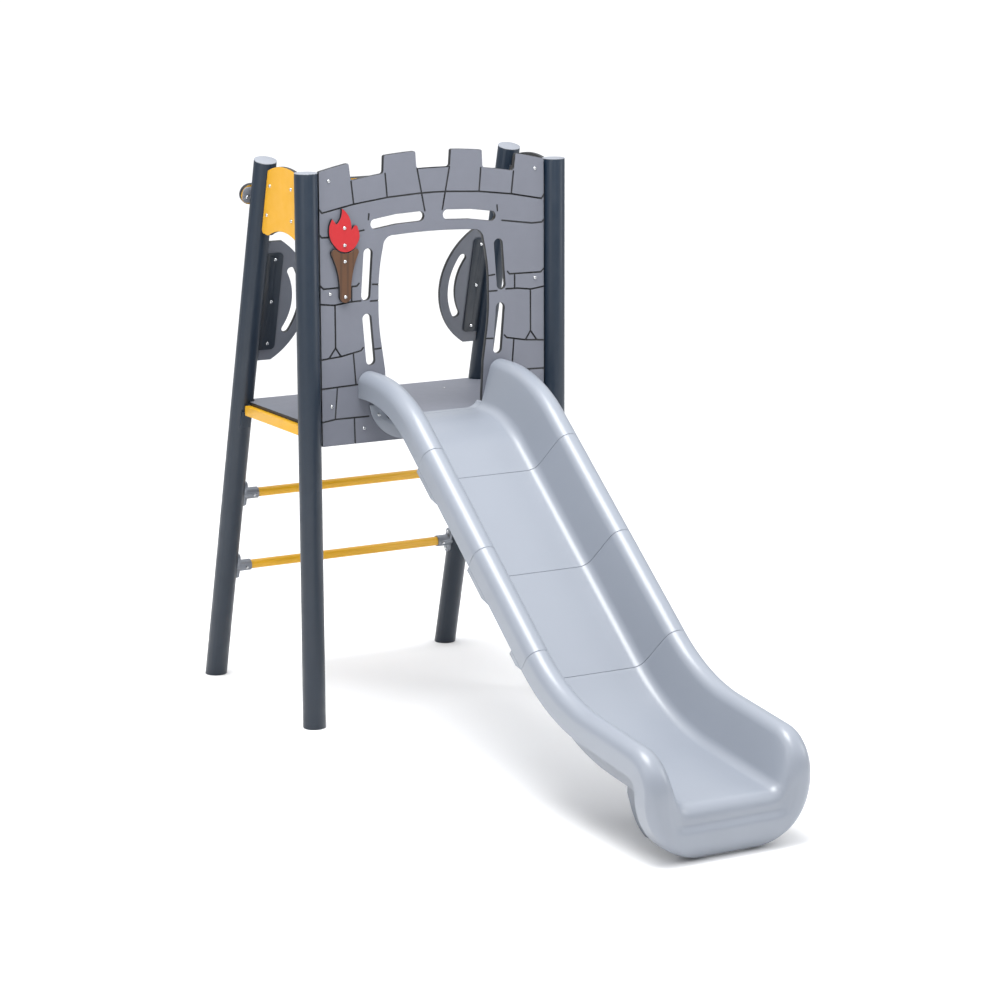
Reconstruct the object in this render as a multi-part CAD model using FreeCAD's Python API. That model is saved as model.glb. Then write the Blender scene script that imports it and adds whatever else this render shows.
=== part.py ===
"""Castle-themed playground tower with a straight trough slide.

Every piece is one solid in its own node, written to parts/NODE.step.
Units are millimetres, +Z is up, the slide runs towards -Y and the ladder stands at +Y.
"""

import math
import os

import FreeCAD
import Part

V = FreeCAD.Vector

# ---------------------------------------------------------------- driving dimensions
# overall frame
POST_D = 88.9
POST_WALL = 3.2
POST_PITCH = 1077.0
FRONT_POST_HEIGHT = 2166.0
REAR_FOOT_Y = 940.0
REAR_TOP_Y = 357.0
REAR_TOP_Z = 2183.0
CAP_T = 4.0
PLUG_T = 6.0
DECK_Z = 1200.0
DECK_T = 14.0
DECK_SIDE_INSET = 9.5
DECK_FRONT_Y = 28.5
DECK_REAR_Y = 632.0

# clearances
SEAT = 0.3
POST_NOTCH = 4.0
SEAM = 0.6
BORE_PLAY = 0.25

# sheet pieces
PANEL_T = 19.0
PANEL_FRONT_Y = -10.0
PANEL_SIDE_GAP = 5.05
PANEL_DROP = 90.0
GROOVE_W = 5.0
GROOVE_DEPTH = 3.0
SIDE_PANEL_T = 15.0
GRIP_T = 15.0
TORCH_T = 13.0
HEADER_T = 19.0
TAB_T = 5.0

# ladder and deck tubes
RUNG_D = 38.0
RUNG_WALL = 3.0
RUNG_HEIGHTS = (477.0, 795.0)
SOCKET_D = 47.0
SOCKET_REACH = 61.0
SOCKET_PLATE_H = 108.0
SOCKET_PLATE_W = 40.0
SOCKET_PLATE_T = 9.0
BEAM_W = 26.0
BEAM_H = 38.0
BEAM_WALL = 3.0
BRACKET_W = 40.0
BRACKET_T = 9.0
BRACKET_DROP = 62.0
TONGUE = 42.0

# fasteners
BOLT_HEAD_D = 14.0
BOLT_HEAD_H = 4.5
BOLT_SHANK_D = 8.0
HEX_KEY = 5.0
NUT_AF = 13.0
NUT_H = 6.5

# slide path
SLIDE_FLAT_Y = -74.0
SLIDE_ANGLE = 37.4
SLIDE_CREST_R = 450.0
SLIDE_FIRST_RUN = 128.0
SLIDE_PITCH = 492.0
SLIDE_TOE_R = 930.0
SLIDE_EXIT_ANGLE = 6.0
SLIDE_NOSE_Y = -2165.0

# slide cross-section
SLIDE_T = 8.0
BED_HALF = 162.0
BED_FILLET = 48.0
WALL_LEAN = 15.8
RAIL_R = 47.0
RAIL_TOP = 190.0
RAIL_EDGE_N = 88.0
NOSE_R = 157.0
NOSE_CORNER_R = 235.0
NOSE_GROUND = 6.0
LIP_R = 52.0

# ---------------------------------------------------------------- values that follow
POST_R = POST_D / 2
HALF_PITCH = POST_PITCH / 2
LEAN = math.degrees(math.atan2(REAR_FOOT_Y - REAR_TOP_Y, REAR_TOP_Z))
REAR_LENGTH = math.hypot(REAR_FOOT_Y - REAR_TOP_Y, REAR_TOP_Z)
PANEL_BACK_Y = PANEL_FRONT_Y + PANEL_T
PANEL_HALF_WIDTH = HALF_PITCH - POST_R - PANEL_SIDE_GAP
PANEL_BOTTOM_Z = DECK_Z - PANEL_DROP
DECK_HALF_WIDTH = HALF_PITCH - DECK_SIDE_INSET
DECK_UNDER_Z = DECK_Z - DECK_T
BEAM_Z = DECK_UNDER_Z - BEAM_H / 2 - SEAT
REAR_REACH_Y = REAR_FOOT_Y + POST_R / math.cos(math.radians(LEAN))
ORIGIN_Y = (SLIDE_NOSE_Y + REAR_REACH_Y) / 2
PIECES = {}


# ---------------------------------------------------------------- helpers
def save(node, *solids):
    """Keep the solids of one node, moved so the footprint's middle is the origin."""
    moved = [solid.translated(V(0, -ORIGIN_Y, 0)) for solid in solids]
    PIECES[node] = moved[0] if len(moved) == 1 else Part.makeCompound(moved)


def block(x0, x1, y0, y1, z0, z1):
    return Part.makeBox(x1 - x0, y1 - y0, z1 - z0, V(x0, y0, z0))


def rod(start, direction, radius, length):
    return Part.makeCylinder(radius, length, V(*start), V(*direction))


def tube(start, direction, radius, wall, length):
    return rod(start, direction, radius, length).cut(rod(start, direction, radius - wall, length))


def mirror_x(shape):
    return shape.mirror(V(0, 0, 0), V(1, 0, 0))


def both(shape):
    return [shape, mirror_x(shape)]


def leaned(shape):
    """Take a shape drawn round an upright post axis into the rear posts' lean."""
    turned = shape.copy()
    turned.rotate(V(0, 0, 0), V(1, 0, 0), LEAN)
    turned.translate(V(0, REAR_FOOT_Y, 0))
    return turned


def along_post(height):
    """Distance up a rear post's axis at a height above the ground."""
    return height / math.cos(math.radians(LEAN))


def rear_axis_y(height):
    return REAR_FOOT_Y - height * math.tan(math.radians(LEAN))


def arc(p0, p1, p2):
    return Part.Arc(V(*p0), V(*p1), V(*p2)).toShape()


def outline(points, closed=True):
    """A wire of lines; a point given as a pair of points bends the edge through the first."""
    edges = []
    last = points[0]
    steps = points[1:] + ([points[0]] if closed else [])
    for step in steps:
        if isinstance(step[0], tuple):
            edges.append(arc(last, step[0], step[1]))
            last = step[1]
        else:
            edges.append(Part.makeLine(V(*last), V(*step)))
            last = step
    return Part.Wire(edges)


def upright_sheet(points, y0, thickness, closed=True):
    """A flat piece drawn in x and z, standing at y0 and reaching thickness further back."""
    lifted = [lift_y(p, y0) for p in points]
    return Part.Face(outline(lifted, closed)).extrude(V(0, thickness, 0))


def lift_y(p, y):
    if isinstance(p[0], tuple):
        return tuple(lift_y(q, y) for q in p)
    return (p[0], y, p[1])


def side_sheet(points, x0, thickness, closed=True):
    """A flat piece drawn in y and z, standing at x0."""
    lifted = [lift_x(p, x0) for p in points]
    return Part.Face(outline(lifted, closed)).extrude(V(thickness, 0, 0))


def lift_x(p, x):
    if isinstance(p[0], tuple):
        return tuple(lift_x(q, x) for q in p)
    return (x, p[0], p[1])


def round_upright_edges(shape, direction, radius, choose=None):
    """Round the straight edges that run along one direction."""
    picked = []
    for edge in shape.Edges:
        if not isinstance(edge.Curve, Part.Line):
            continue
        run = edge.Vertexes[1].Point.sub(edge.Vertexes[0].Point)
        run.normalize()
        if abs(run.dot(direction)) < 0.999:
            continue
        if choose is None or choose(edge.CenterOfMass):
            picked.append(edge)
    return shape.makeFillet(radius, picked) if picked else shape


def bolt(point, direction, grip, head_d=BOLT_HEAD_D):
    """A button-head bolt whose head sits on the point; direction leads into the work."""
    d = V(*direction)
    p = V(*point)
    start = p.sub(V(d).multiply(BOLT_HEAD_H))
    head = Part.makeCylinder(head_d / 2, BOLT_HEAD_H, start, d)
    rim = [e for e in head.Edges if (e.CenterOfMass.sub(start)).Length < 0.01]
    head = head.makeFillet(BOLT_HEAD_H * 0.55, rim)
    shank = Part.makeCylinder(BOLT_SHANK_D / 2, grip, p, d)
    key = Part.makeCylinder(HEX_KEY / 2, BOLT_HEAD_H * 0.6, start, d)
    return head.fuse(shank).cut(key).removeSplitter()


def bolt_hole(point, direction, grip):
    d = V(*direction)
    start = V(*point).sub(V(d).multiply(1.0))
    return Part.makeCylinder(BOLT_SHANK_D / 2 + BORE_PLAY, grip + 2.0, start, d)


def nut(point, direction):
    """A hexagon nut standing on the point, its axis along direction."""
    d = V(*direction)
    p = V(*point)
    across = V(1, 0, 0) if abs(d.x) < 0.9 else V(0, 1, 0)
    side = d.cross(across)
    side.normalize()
    other = d.cross(side)
    reach = NUT_AF / 2 / math.cos(math.radians(30))
    corners = []
    for i in range(6):
        a = math.radians(60 * i)
        corners.append(p.add(V(side).multiply(reach * math.cos(a))).add(V(other).multiply(reach * math.sin(a))))
    face = Part.Face(Part.makePolygon(corners + [corners[0]]))
    body = face.extrude(V(d).multiply(NUT_H))
    return body.cut(Part.makeCylinder(BOLT_SHANK_D / 2 + BORE_PLAY, NUT_H, p, d))


def drilled(shape, holes):
    for hole in holes:
        shape = shape.cut(hole)
    return shape


def front_post_room(extra=SEAT):
    """The space the front posts keep to themselves."""
    length = FRONT_POST_HEIGHT + 60
    return [rod((x, 0, -10), (0, 0, 1), POST_R + extra, length) for x in (-HALF_PITCH, HALF_PITCH)]


def rear_post_room(extra=SEAT):
    room = [rod((x, 0, -40), (0, 0, 1), POST_R + extra, REAR_LENGTH + 80) for x in (-HALF_PITCH, HALF_PITCH)]
    return [leaned(r) for r in room]


# ---------------------------------------------------------------- posts
def build_posts():
    tube_top = FRONT_POST_HEIGHT - CAP_T
    caps = []
    plugs = []
    for side, x in (("left", -HALF_PITCH), ("right", HALF_PITCH)):
        save("post_front_" + side, tube((x, 0, 0), (0, 0, 1), POST_R, POST_WALL, tube_top))
        caps.append(rod((x, 0, tube_top), (0, 0, 1), POST_R, CAP_T))
        plugs.append(rod((x, 0, 0), (0, 0, 1), POST_R - POST_WALL - BORE_PLAY, PLUG_T))
    save("caps_front", *caps)
    save("foot_plugs_front", *plugs)

    below = block(-900, 900, REAR_FOOT_Y - 300, REAR_FOOT_Y + 300, -200, 0)
    caps = []
    plugs = []
    for side, x in (("left", -HALF_PITCH), ("right", HALF_PITCH)):
        post = leaned(tube((x, 0, -60), (0, 0, 1), POST_R, POST_WALL, REAR_LENGTH + 60 - CAP_T))
        save("post_rear_" + side, post.cut(below))
        caps.append(leaned(rod((x, 0, REAR_LENGTH - CAP_T), (0, 0, 1), POST_R, CAP_T)))
        core = leaned(rod((x, 0, -60), (0, 0, 1), POST_R - POST_WALL - BORE_PLAY, 120))
        plugs.append(core.common(block(-900, 900, REAR_FOOT_Y - 300, REAR_FOOT_Y + 300, 0, PLUG_T)))
    save("caps_rear", *caps)
    save("foot_plugs_rear", *plugs)


# ---------------------------------------------------------------- castle panel
PANEL_BOLT_X = HALF_PITCH - 90.5
PANEL_BOLTS = ((PANEL_BOLT_X, 2130.0), (PANEL_BOLT_X, 1699.0), (PANEL_BOLT_X, DECK_Z + 64.0))
PANEL_LOW_BOLT = (311.0, DECK_UNDER_Z - 18.0)
CROWN_R = 2040.0
CROWN_TOP = 2226.5
FLOOR_R = 1972.0
FLOOR_TOP = 2158.5
SLOT_W = 38.0


def arch_z(x, top, radius):
    return top - (radius - math.sqrt(radius * radius - x * x))


def crown(x):
    return (x, arch_z(x, CROWN_TOP, CROWN_R))


def floor(x):
    return (x, arch_z(x, FLOOR_TOP, FLOOR_R))


def panel_outline():
    """Battlements with arched tops over a square-cornered wall."""
    half = PANEL_HALF_WIDTH
    return [
        floor(72), crown(77), (crown(145), crown(213)), floor(216), (floor(285), floor(354)),
        crown(362), (crown(425), crown(half)), (half, PANEL_BOTTOM_Z),
        (-half, PANEL_BOTTOM_Z), crown(-half), (crown(-425), crown(-362)), floor(-354),
        (floor(-285), floor(-216)), crown(-213), (crown(-145), crown(-77)), floor(-72),
        (floor(0), floor(72)),
    ]


DOOR_FOOT_HALF = 209.0


def door_tool():
    """The doorway: waisted jambs and a shallow arched head with rounded corners."""
    right = [
        (DOOR_FOOT_HALF, DECK_Z - 10.0), (DOOR_FOOT_HALF, DECK_Z + 56.0),
        ((213.0, 1325.0), (216.0, 1387.0)), (229.0, 1479.0),
        ((239.0, 1560.0), (241.0, 1670.0)), ((236.0, 1772.0), (219.0, 1868.0)),
        ((204.0, 1898.0), (172.0, 1908.0)),
    ]
    left = [flip(p) for p in reversed_path(right)]
    return upright_sheet(right + [((0.0, 1914.0), left[0])] + left[1:], PANEL_FRONT_Y - 5, PANEL_T + 10)


def slot_tool(a, b, width, y0, depth):
    """A round-ended slot between two end centres in x and z."""
    dx = b[0] - a[0]
    dz = b[1] - a[1]
    length = math.hypot(dx, dz)
    nx = -dz / length * width / 2
    nz = dx / length * width / 2
    bar = Part.Face(outline([
        (a[0] + nx, y0, a[1] + nz), (b[0] + nx, y0, b[1] + nz),
        (b[0] - nx, y0, b[1] - nz), (a[0] - nx, y0, a[1] - nz),
    ])).extrude(V(0, depth, 0))
    ends = [rod((p[0], y0, p[1]), (0, 1, 0), width / 2, depth) for p in (a, b)]
    return bar.fuse(ends)


# see-through slots of the right half, tip to tip; the left half repeats them mirrored
SLOTS = (
    ((272, 1953), (160, 1969), (41, 1974)),
    ((283, 1864), (298, 1664)),
    ((294, 1612), (277, 1412)),
)


def inset(tip, towards, distance):
    """The point that lies a distance in from a tip along its line."""
    dx = towards[0] - tip[0]
    dz = towards[1] - tip[1]
    share = distance / math.hypot(dx, dz)
    return (tip[0] + dx * share, tip[1] + dz * share)


def panel_slots():
    tools = []
    for slot in SLOTS:
        line = [inset(slot[0], slot[1], SLOT_W / 2), *slot[1:-1], inset(slot[-1], slot[-2], SLOT_W / 2)]
        for a, b in zip(line[:-1], line[1:]):
            tools.append(slot_tool(a, b, SLOT_W, PANEL_FRONT_Y - 5, PANEL_T + 10))
    return tools + [mirror_x(t) for t in tools]


# stone courses of the right half; the left half repeats them mirrored
COURSES = (
    ((489, 2024), (478, 2010), (344, 2036), (200, 2054), (60, 2062), (0, 2063)),
    ((353, 2124), (343, 2036)),
    ((208, 2146), (200, 2054)),
    ((70, 2156), (38, 1993)),
    ((489, 1927), (480, 1917), (435, 1916), (301, 1935)),
    ((279, 1996), (281, 1974)),
    ((489, 1733), (475, 1720), (404, 1721), (334, 1722), (325, 1732)),
    ((267, 1724), (241, 1722)),
    ((489, 1662), (430, 1655), (370, 1663), (318, 1664)),
    ((277, 1660), (241, 1660)),
    ((357, 1722), (357, 1664)),
    ((428, 1655), (428, 1490), (457, 1451), (489, 1448)),
    ((428, 1490), (405, 1455), (457, 1451)),
    ((405, 1455), (320, 1471), (310, 1482)),
    ((262, 1472), (229, 1474)),
    ((353, 1465), (343, 1340)),
    ((489, 1335), (343, 1340), (300, 1344)),
    ((423, 1337), (434, 1214)),
    ((489, 1205), (434, 1213), (291, 1213)),
    ((352, 1212), (350, 1110)),
)


def groove_tools():
    """Square-bottomed engraved lines in the front skin of the panel."""
    y0 = PANEL_FRONT_Y - 1.0
    depth = GROOVE_DEPTH + 1.0
    tools = []
    for course in COURSES:
        for a, b in zip(course[:-1], course[1:]):
            tools.append(slot_tool(a, b, GROOVE_W, y0, depth))
    return tools


def build_panel():
    sheet = upright_sheet(panel_outline(), PANEL_FRONT_Y, PANEL_T, closed=False)
    upper = lambda c: c.z > 2100
    inner = lambda c: upper(c) and abs(c.z - arch_z(c.x, FLOOR_TOP, FLOOR_R)) < 2
    outer = lambda c: upper(c) and not inner(c)
    sheet = round_upright_edges(sheet, V(0, 1, 0), 12.0, inner)
    sheet = round_upright_edges(sheet, V(0, 1, 0), 8.0, outer)
    sheet = sheet.cut(door_tool())
    sheet = sheet.cut(Part.makeCompound(panel_slots()))
    grooves = groove_tools()
    one_side = grooves[0].fuse(grooves[1:])
    sheet = sheet.cut(one_side)
    sheet = sheet.cut(mirror_x(one_side))

    tab_y = PANEL_BACK_Y + SEAT
    grip = PANEL_T + SEAT + TAB_T + NUT_H + 1.5
    face_y = PANEL_FRONT_Y
    bolts = []
    nuts = []
    room = front_post_room()
    for x_sign, side in ((-1, "left"), (1, "right")):
        tabs = []
        for x, z in PANEL_BOLTS:
            at = (x_sign * x, face_y, z)
            bolts.append(bolt(at, (0, 1, 0), grip))
            sheet = sheet.cut(bolt_hole(at, (0, 1, 0), grip))
            x0, x1 = sorted((x_sign * (x - 24), x_sign * HALF_PITCH))
            tab = block(x0, x1, tab_y, tab_y + TAB_T, z - 26, z + 26)
            tabs.append(drilled(tab, room + [bolt_hole(at, (0, 1, 0), grip)]))
            nuts.append(nut((x_sign * x, tab_y + TAB_T, z), (0, 1, 0)))
        save("panel_tabs_" + side, *tabs)
        x, z = PANEL_LOW_BOLT
        at = (x_sign * x, face_y, z)
        bolts.append(bolt(at, (0, 1, 0), grip))
        sheet = sheet.cut(bolt_hole(at, (0, 1, 0), grip))
        x0, x1 = x_sign * x - 22, x_sign * x + 22
        top = DECK_UNDER_Z - SEAT
        upright = block(x0, x1, tab_y, tab_y + TAB_T, z - 20, top)
        flange = block(x0, x1, tab_y, tab_y + 66, top - TAB_T, top)
        angle = upright.fuse(flange).removeSplitter()
        nuts.append(nut((x_sign * x, tab_y + TAB_T, z), (0, 1, 0)))
        save("deck_angle_" + side, angle.cut(bolt_hole(at, (0, 1, 0), grip)))
    return sheet, bolts, nuts


# ---------------------------------------------------------------- torch
TORCH_X = -390.0
FLAME_BOLTS = (1950.0, 1884.0)
HANDLE_BOLTS = (1822.0, 1686.0)


def build_torch(sheet, bolts, nuts):
    y0 = PANEL_FRONT_Y - SEAT - TORCH_T
    flame = flame_sheet(y0)
    handle = handle_sheet(y0)
    torch_bolts = []
    grip = TORCH_T + SEAT + PANEL_T + NUT_H + 1.5
    for z in FLAME_BOLTS + HANDLE_BOLTS:
        at = (TORCH_X, y0, z)
        hole = bolt_hole(at, (0, 1, 0), grip)
        torch_bolts.append(bolt(at, (0, 1, 0), grip))
        sheet = sheet.cut(hole)
        flame = flame.cut(hole)
        handle = handle.cut(hole)
        nuts.append(nut((TORCH_X, PANEL_BACK_Y, z), (0, 1, 0)))
    save("torch_flame", flame)
    save("torch_handle", handle)
    save("torch_bolts", *torch_bolts)
    save("castle_panel", sheet)
    save("panel_bolts", *bolts)
    save("panel_nuts", *nuts)


def flame_sheet(y0):
    """Three licks of flame over a round base."""
    edges = [
        (-401, 2026),
        ((-368, 1990), (-360, 1942)),
        (-352, 1952),
        ((-341, 1958), (-333, 1946)),
        ((-326, 1912), (-338, 1884)),
        ((-382, 1857), (-430, 1880)),
        ((-455, 1930), (-441, 1988)),
        (-423, 1966),
        ((-405, 1991), (-401, 2026)),
    ]
    return upright_sheet(edges, y0, TORCH_T, closed=False)


def handle_sheet(y0):
    """A tapering grip whose top follows the base of the flame."""
    edges = [
        (-447, 1850),
        ((-441, 1868), (-424, 1868)),
        ((-388, 1853), (-352, 1866)),
        ((-334, 1866), (-332, 1848)),
        ((-352, 1792), (-365, 1686)),
        ((-390, 1663), (-414, 1686)),
        ((-424, 1790), (-447, 1850)),
    ]
    return upright_sheet(edges, y0, TORCH_T, closed=False)


# ---------------------------------------------------------------- side panels
SIDE_PANEL_OUT = HALF_PITCH + 8.5
SIDE_BOLTS = ((302.0, 2088.0), (335.0, 1972.0), (113.0, 2092.0), (114.0, 1971.0))


def build_side_panels():
    """The yellow cheeks between front and rear posts, their tabs and bolts."""
    x0 = -SIDE_PANEL_OUT
    y_front = POST_R + SEAT
    rear_edge = lambda z: rear_axis_y(z) - (POST_R + SEAT) / math.cos(math.radians(LEAN))
    y_low = rear_edge(1914)
    edges = [
        (y_front, 1880),
        (y_front, 2150),
        ((194, 2171), (rear_edge(2146), 2146)),
        (y_low, 1920),
        ((y_low - 2, 1902), (y_low - 22, 1897)),
        ((y_low - 50, 1893), (y_low - 78, 1901)),
        ((228, 1919), (y_front, 1880)),
    ]
    cheek = side_sheet(edges, x0, SIDE_PANEL_T, closed=False)
    grip = SIDE_PANEL_T + SEAT + TAB_T + NUT_H + 1.5
    inner_x = x0 + SIDE_PANEL_T + SEAT
    tabs = []
    bolts = []
    nuts = []
    for y, z in SIDE_BOLTS:
        at = (x0, y, z)
        hole = bolt_hole(at, (1, 0, 0), grip)
        cheek = cheek.cut(hole)
        bolts.append(bolt(at, (1, 0, 0), grip))
        near_rear = y > 200
        axis_y = rear_axis_y(z) if near_rear else 0.0
        y0, y1 = sorted((axis_y, y + (-20 if near_rear else 20)))
        tab = block(inner_x, inner_x + TAB_T, y0, y1, z - 20, z + 20)
        room = rear_post_room() if near_rear else front_post_room()
        tabs.append(drilled(tab, room + [hole]))
        nuts.append(nut((inner_x + TAB_T, y, z), (1, 0, 0)))
    cheek = drilled(cheek, rear_post_room())
    save("side_panel_left", cheek)
    save("side_panel_right", mirror_x(cheek))
    save("side_panel_tabs_left", *tabs)
    save("side_panel_tabs_right", *[mirror_x(t) for t in tabs])
    save("side_panel_bolts", *(bolts + [mirror_x(b) for b in bolts]))
    save("side_panel_nuts", *(nuts + [mirror_x(n) for n in nuts]))


# ---------------------------------------------------------------- rear header
HEADER_S = 2100.0
HEADER_H = 82.0
HEADER_HALF = HALF_PITCH + 65.5
HEADER_PLATE_T = 6.0
HEADER_BOLT_OUT = 40.5


def build_header():
    """The rear top bar behind the leaning posts, on two saddle plates."""
    plate_n = POST_R
    bar_n = plate_n + HEADER_PLATE_T + SEAT
    end = HEADER_HALF - HEADER_H / 2
    bar = slot_tool((-end, HEADER_S), (end, HEADER_S), HEADER_H, bar_n, HEADER_T)
    bar = bar.removeSplitter()
    grip = HEADER_PLATE_T + SEAT + HEADER_T + NUT_H + 1.5
    bolts = []
    nuts = []
    plates = []
    for x_sign in (-1, 1):
        x = x_sign * HALF_PITCH
        plate = block(x - 60, x + 60, plate_n, plate_n + HEADER_PLATE_T, HEADER_S - 32, HEADER_S + 32)
        plate = round_upright_edges(plate, V(0, 1, 0), 22.0)
        for off in (-HEADER_BOLT_OUT, HEADER_BOLT_OUT):
            at = (x + off, plate_n, HEADER_S - 8)
            hole = bolt_hole(at, (0, 1, 0), grip)
            plate = plate.cut(hole)
            bar = bar.cut(hole)
            bolts.append(leaned(bolt(at, (0, 1, 0), grip)))
            nuts.append(leaned(nut((x + off, bar_n + HEADER_T, HEADER_S - 8), (0, 1, 0))))
        plates.append(leaned(plate))
    save("rear_header", leaned(bar))
    save("header_plate_left", plates[0])
    save("header_plate_right", plates[1])
    save("header_bolts", *bolts)
    save("header_nuts", *nuts)


# ---------------------------------------------------------------- hand grips
GRIP_S = 1666.0
GRIP_HALF_H = 253.0
GRIP_ARC_X = HALF_PITCH + 58.5
GRIP_ARC_R = 300.0
GRIP_SLOT_R = 246.0
GRIP_SLOT_HALF = 30.0
GRIP_SLOT_W = 32.0
GRIP_PLATE_X = HALF_PITCH - 112.5
GRIP_PLATE_HALF_H = 206.0
GRIP_BOLT_X = HALF_PITCH - 78.5
GRIP_BOLT_PITCH = 179.0


def build_grips():
    """D-shaped hand grips on the rear posts, each under a black fixing plate."""
    n0 = -GRIP_T / 2
    post_x = HALF_PITCH
    disc = rod((GRIP_ARC_X, n0, GRIP_S), (0, 1, 0), GRIP_ARC_R, GRIP_T)
    bound = block(0, post_x, n0, n0 + GRIP_T, GRIP_S - GRIP_HALF_H, GRIP_S + GRIP_HALF_H)
    grip = disc.common(bound)
    ring = rod((GRIP_ARC_X, n0 - 2, GRIP_S), (0, 1, 0), GRIP_SLOT_R + GRIP_SLOT_W / 2, GRIP_T + 4)
    ring = ring.cut(rod((GRIP_ARC_X, n0 - 2, GRIP_S), (0, 1, 0), GRIP_SLOT_R - GRIP_SLOT_W / 2, GRIP_T + 4))
    reach = 400.0
    a = math.radians(GRIP_SLOT_HALF)
    wedge = Part.Face(outline([
        (GRIP_ARC_X, n0 - 2, GRIP_S),
        (GRIP_ARC_X - reach * math.cos(a), n0 - 2, GRIP_S + reach * math.sin(a)),
        (GRIP_ARC_X - reach * math.cos(a), n0 - 2, GRIP_S - reach * math.sin(a)),
    ])).extrude(V(0, GRIP_T + 4, 0))
    slot = ring.common(wedge)
    for sign in (-1, 1):
        cx = GRIP_ARC_X - GRIP_SLOT_R * math.cos(a)
        cz = GRIP_S + sign * GRIP_SLOT_R * math.sin(a)
        slot = slot.fuse(rod((cx, n0 - 2, cz), (0, 1, 0), GRIP_SLOT_W / 2, GRIP_T + 4))
    grip = grip.cut(slot)
    plate_n = n0 - SEAT - TAB_T
    low = GRIP_S - GRIP_PLATE_HALF_H
    plate = block(GRIP_PLATE_X, post_x, plate_n, plate_n + TAB_T, low, low + 2 * GRIP_PLATE_HALF_H)
    near = lambda c: c.x < GRIP_PLATE_X + 1
    plate = round_upright_edges(plate, V(0, 1, 0), 18.0, near)
    room = rod((post_x, 0, low - 200), (0, 0, 1), POST_R + SEAT, 900)
    grip = grip.cut(room)
    plate = plate.cut(room)
    bolts = []
    nuts = []
    through = TAB_T + SEAT + GRIP_T + NUT_H + 1.5
    for i in (-1, 0, 1):
        at = (GRIP_BOLT_X, plate_n, GRIP_S + i * GRIP_BOLT_PITCH)
        hole = bolt_hole(at, (0, 1, 0), through)
        grip = grip.cut(hole)
        plate = plate.cut(hole)
        bolts.append(bolt(at, (0, 1, 0), through))
        nuts.append(nut((GRIP_BOLT_X, n0 + GRIP_T, GRIP_S + i * GRIP_BOLT_PITCH), (0, 1, 0)))
    save("hand_grip_right", leaned(grip))
    save("hand_grip_left", leaned(mirror_x(grip)))
    save("grip_plate_right", leaned(plate))
    save("grip_plate_left", leaned(mirror_x(plate)))
    save("grip_bolts", *[leaned(s) for b in bolts for s in both(b)])
    save("grip_nuts", *[leaned(s) for n in nuts for s in both(n)])


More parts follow.
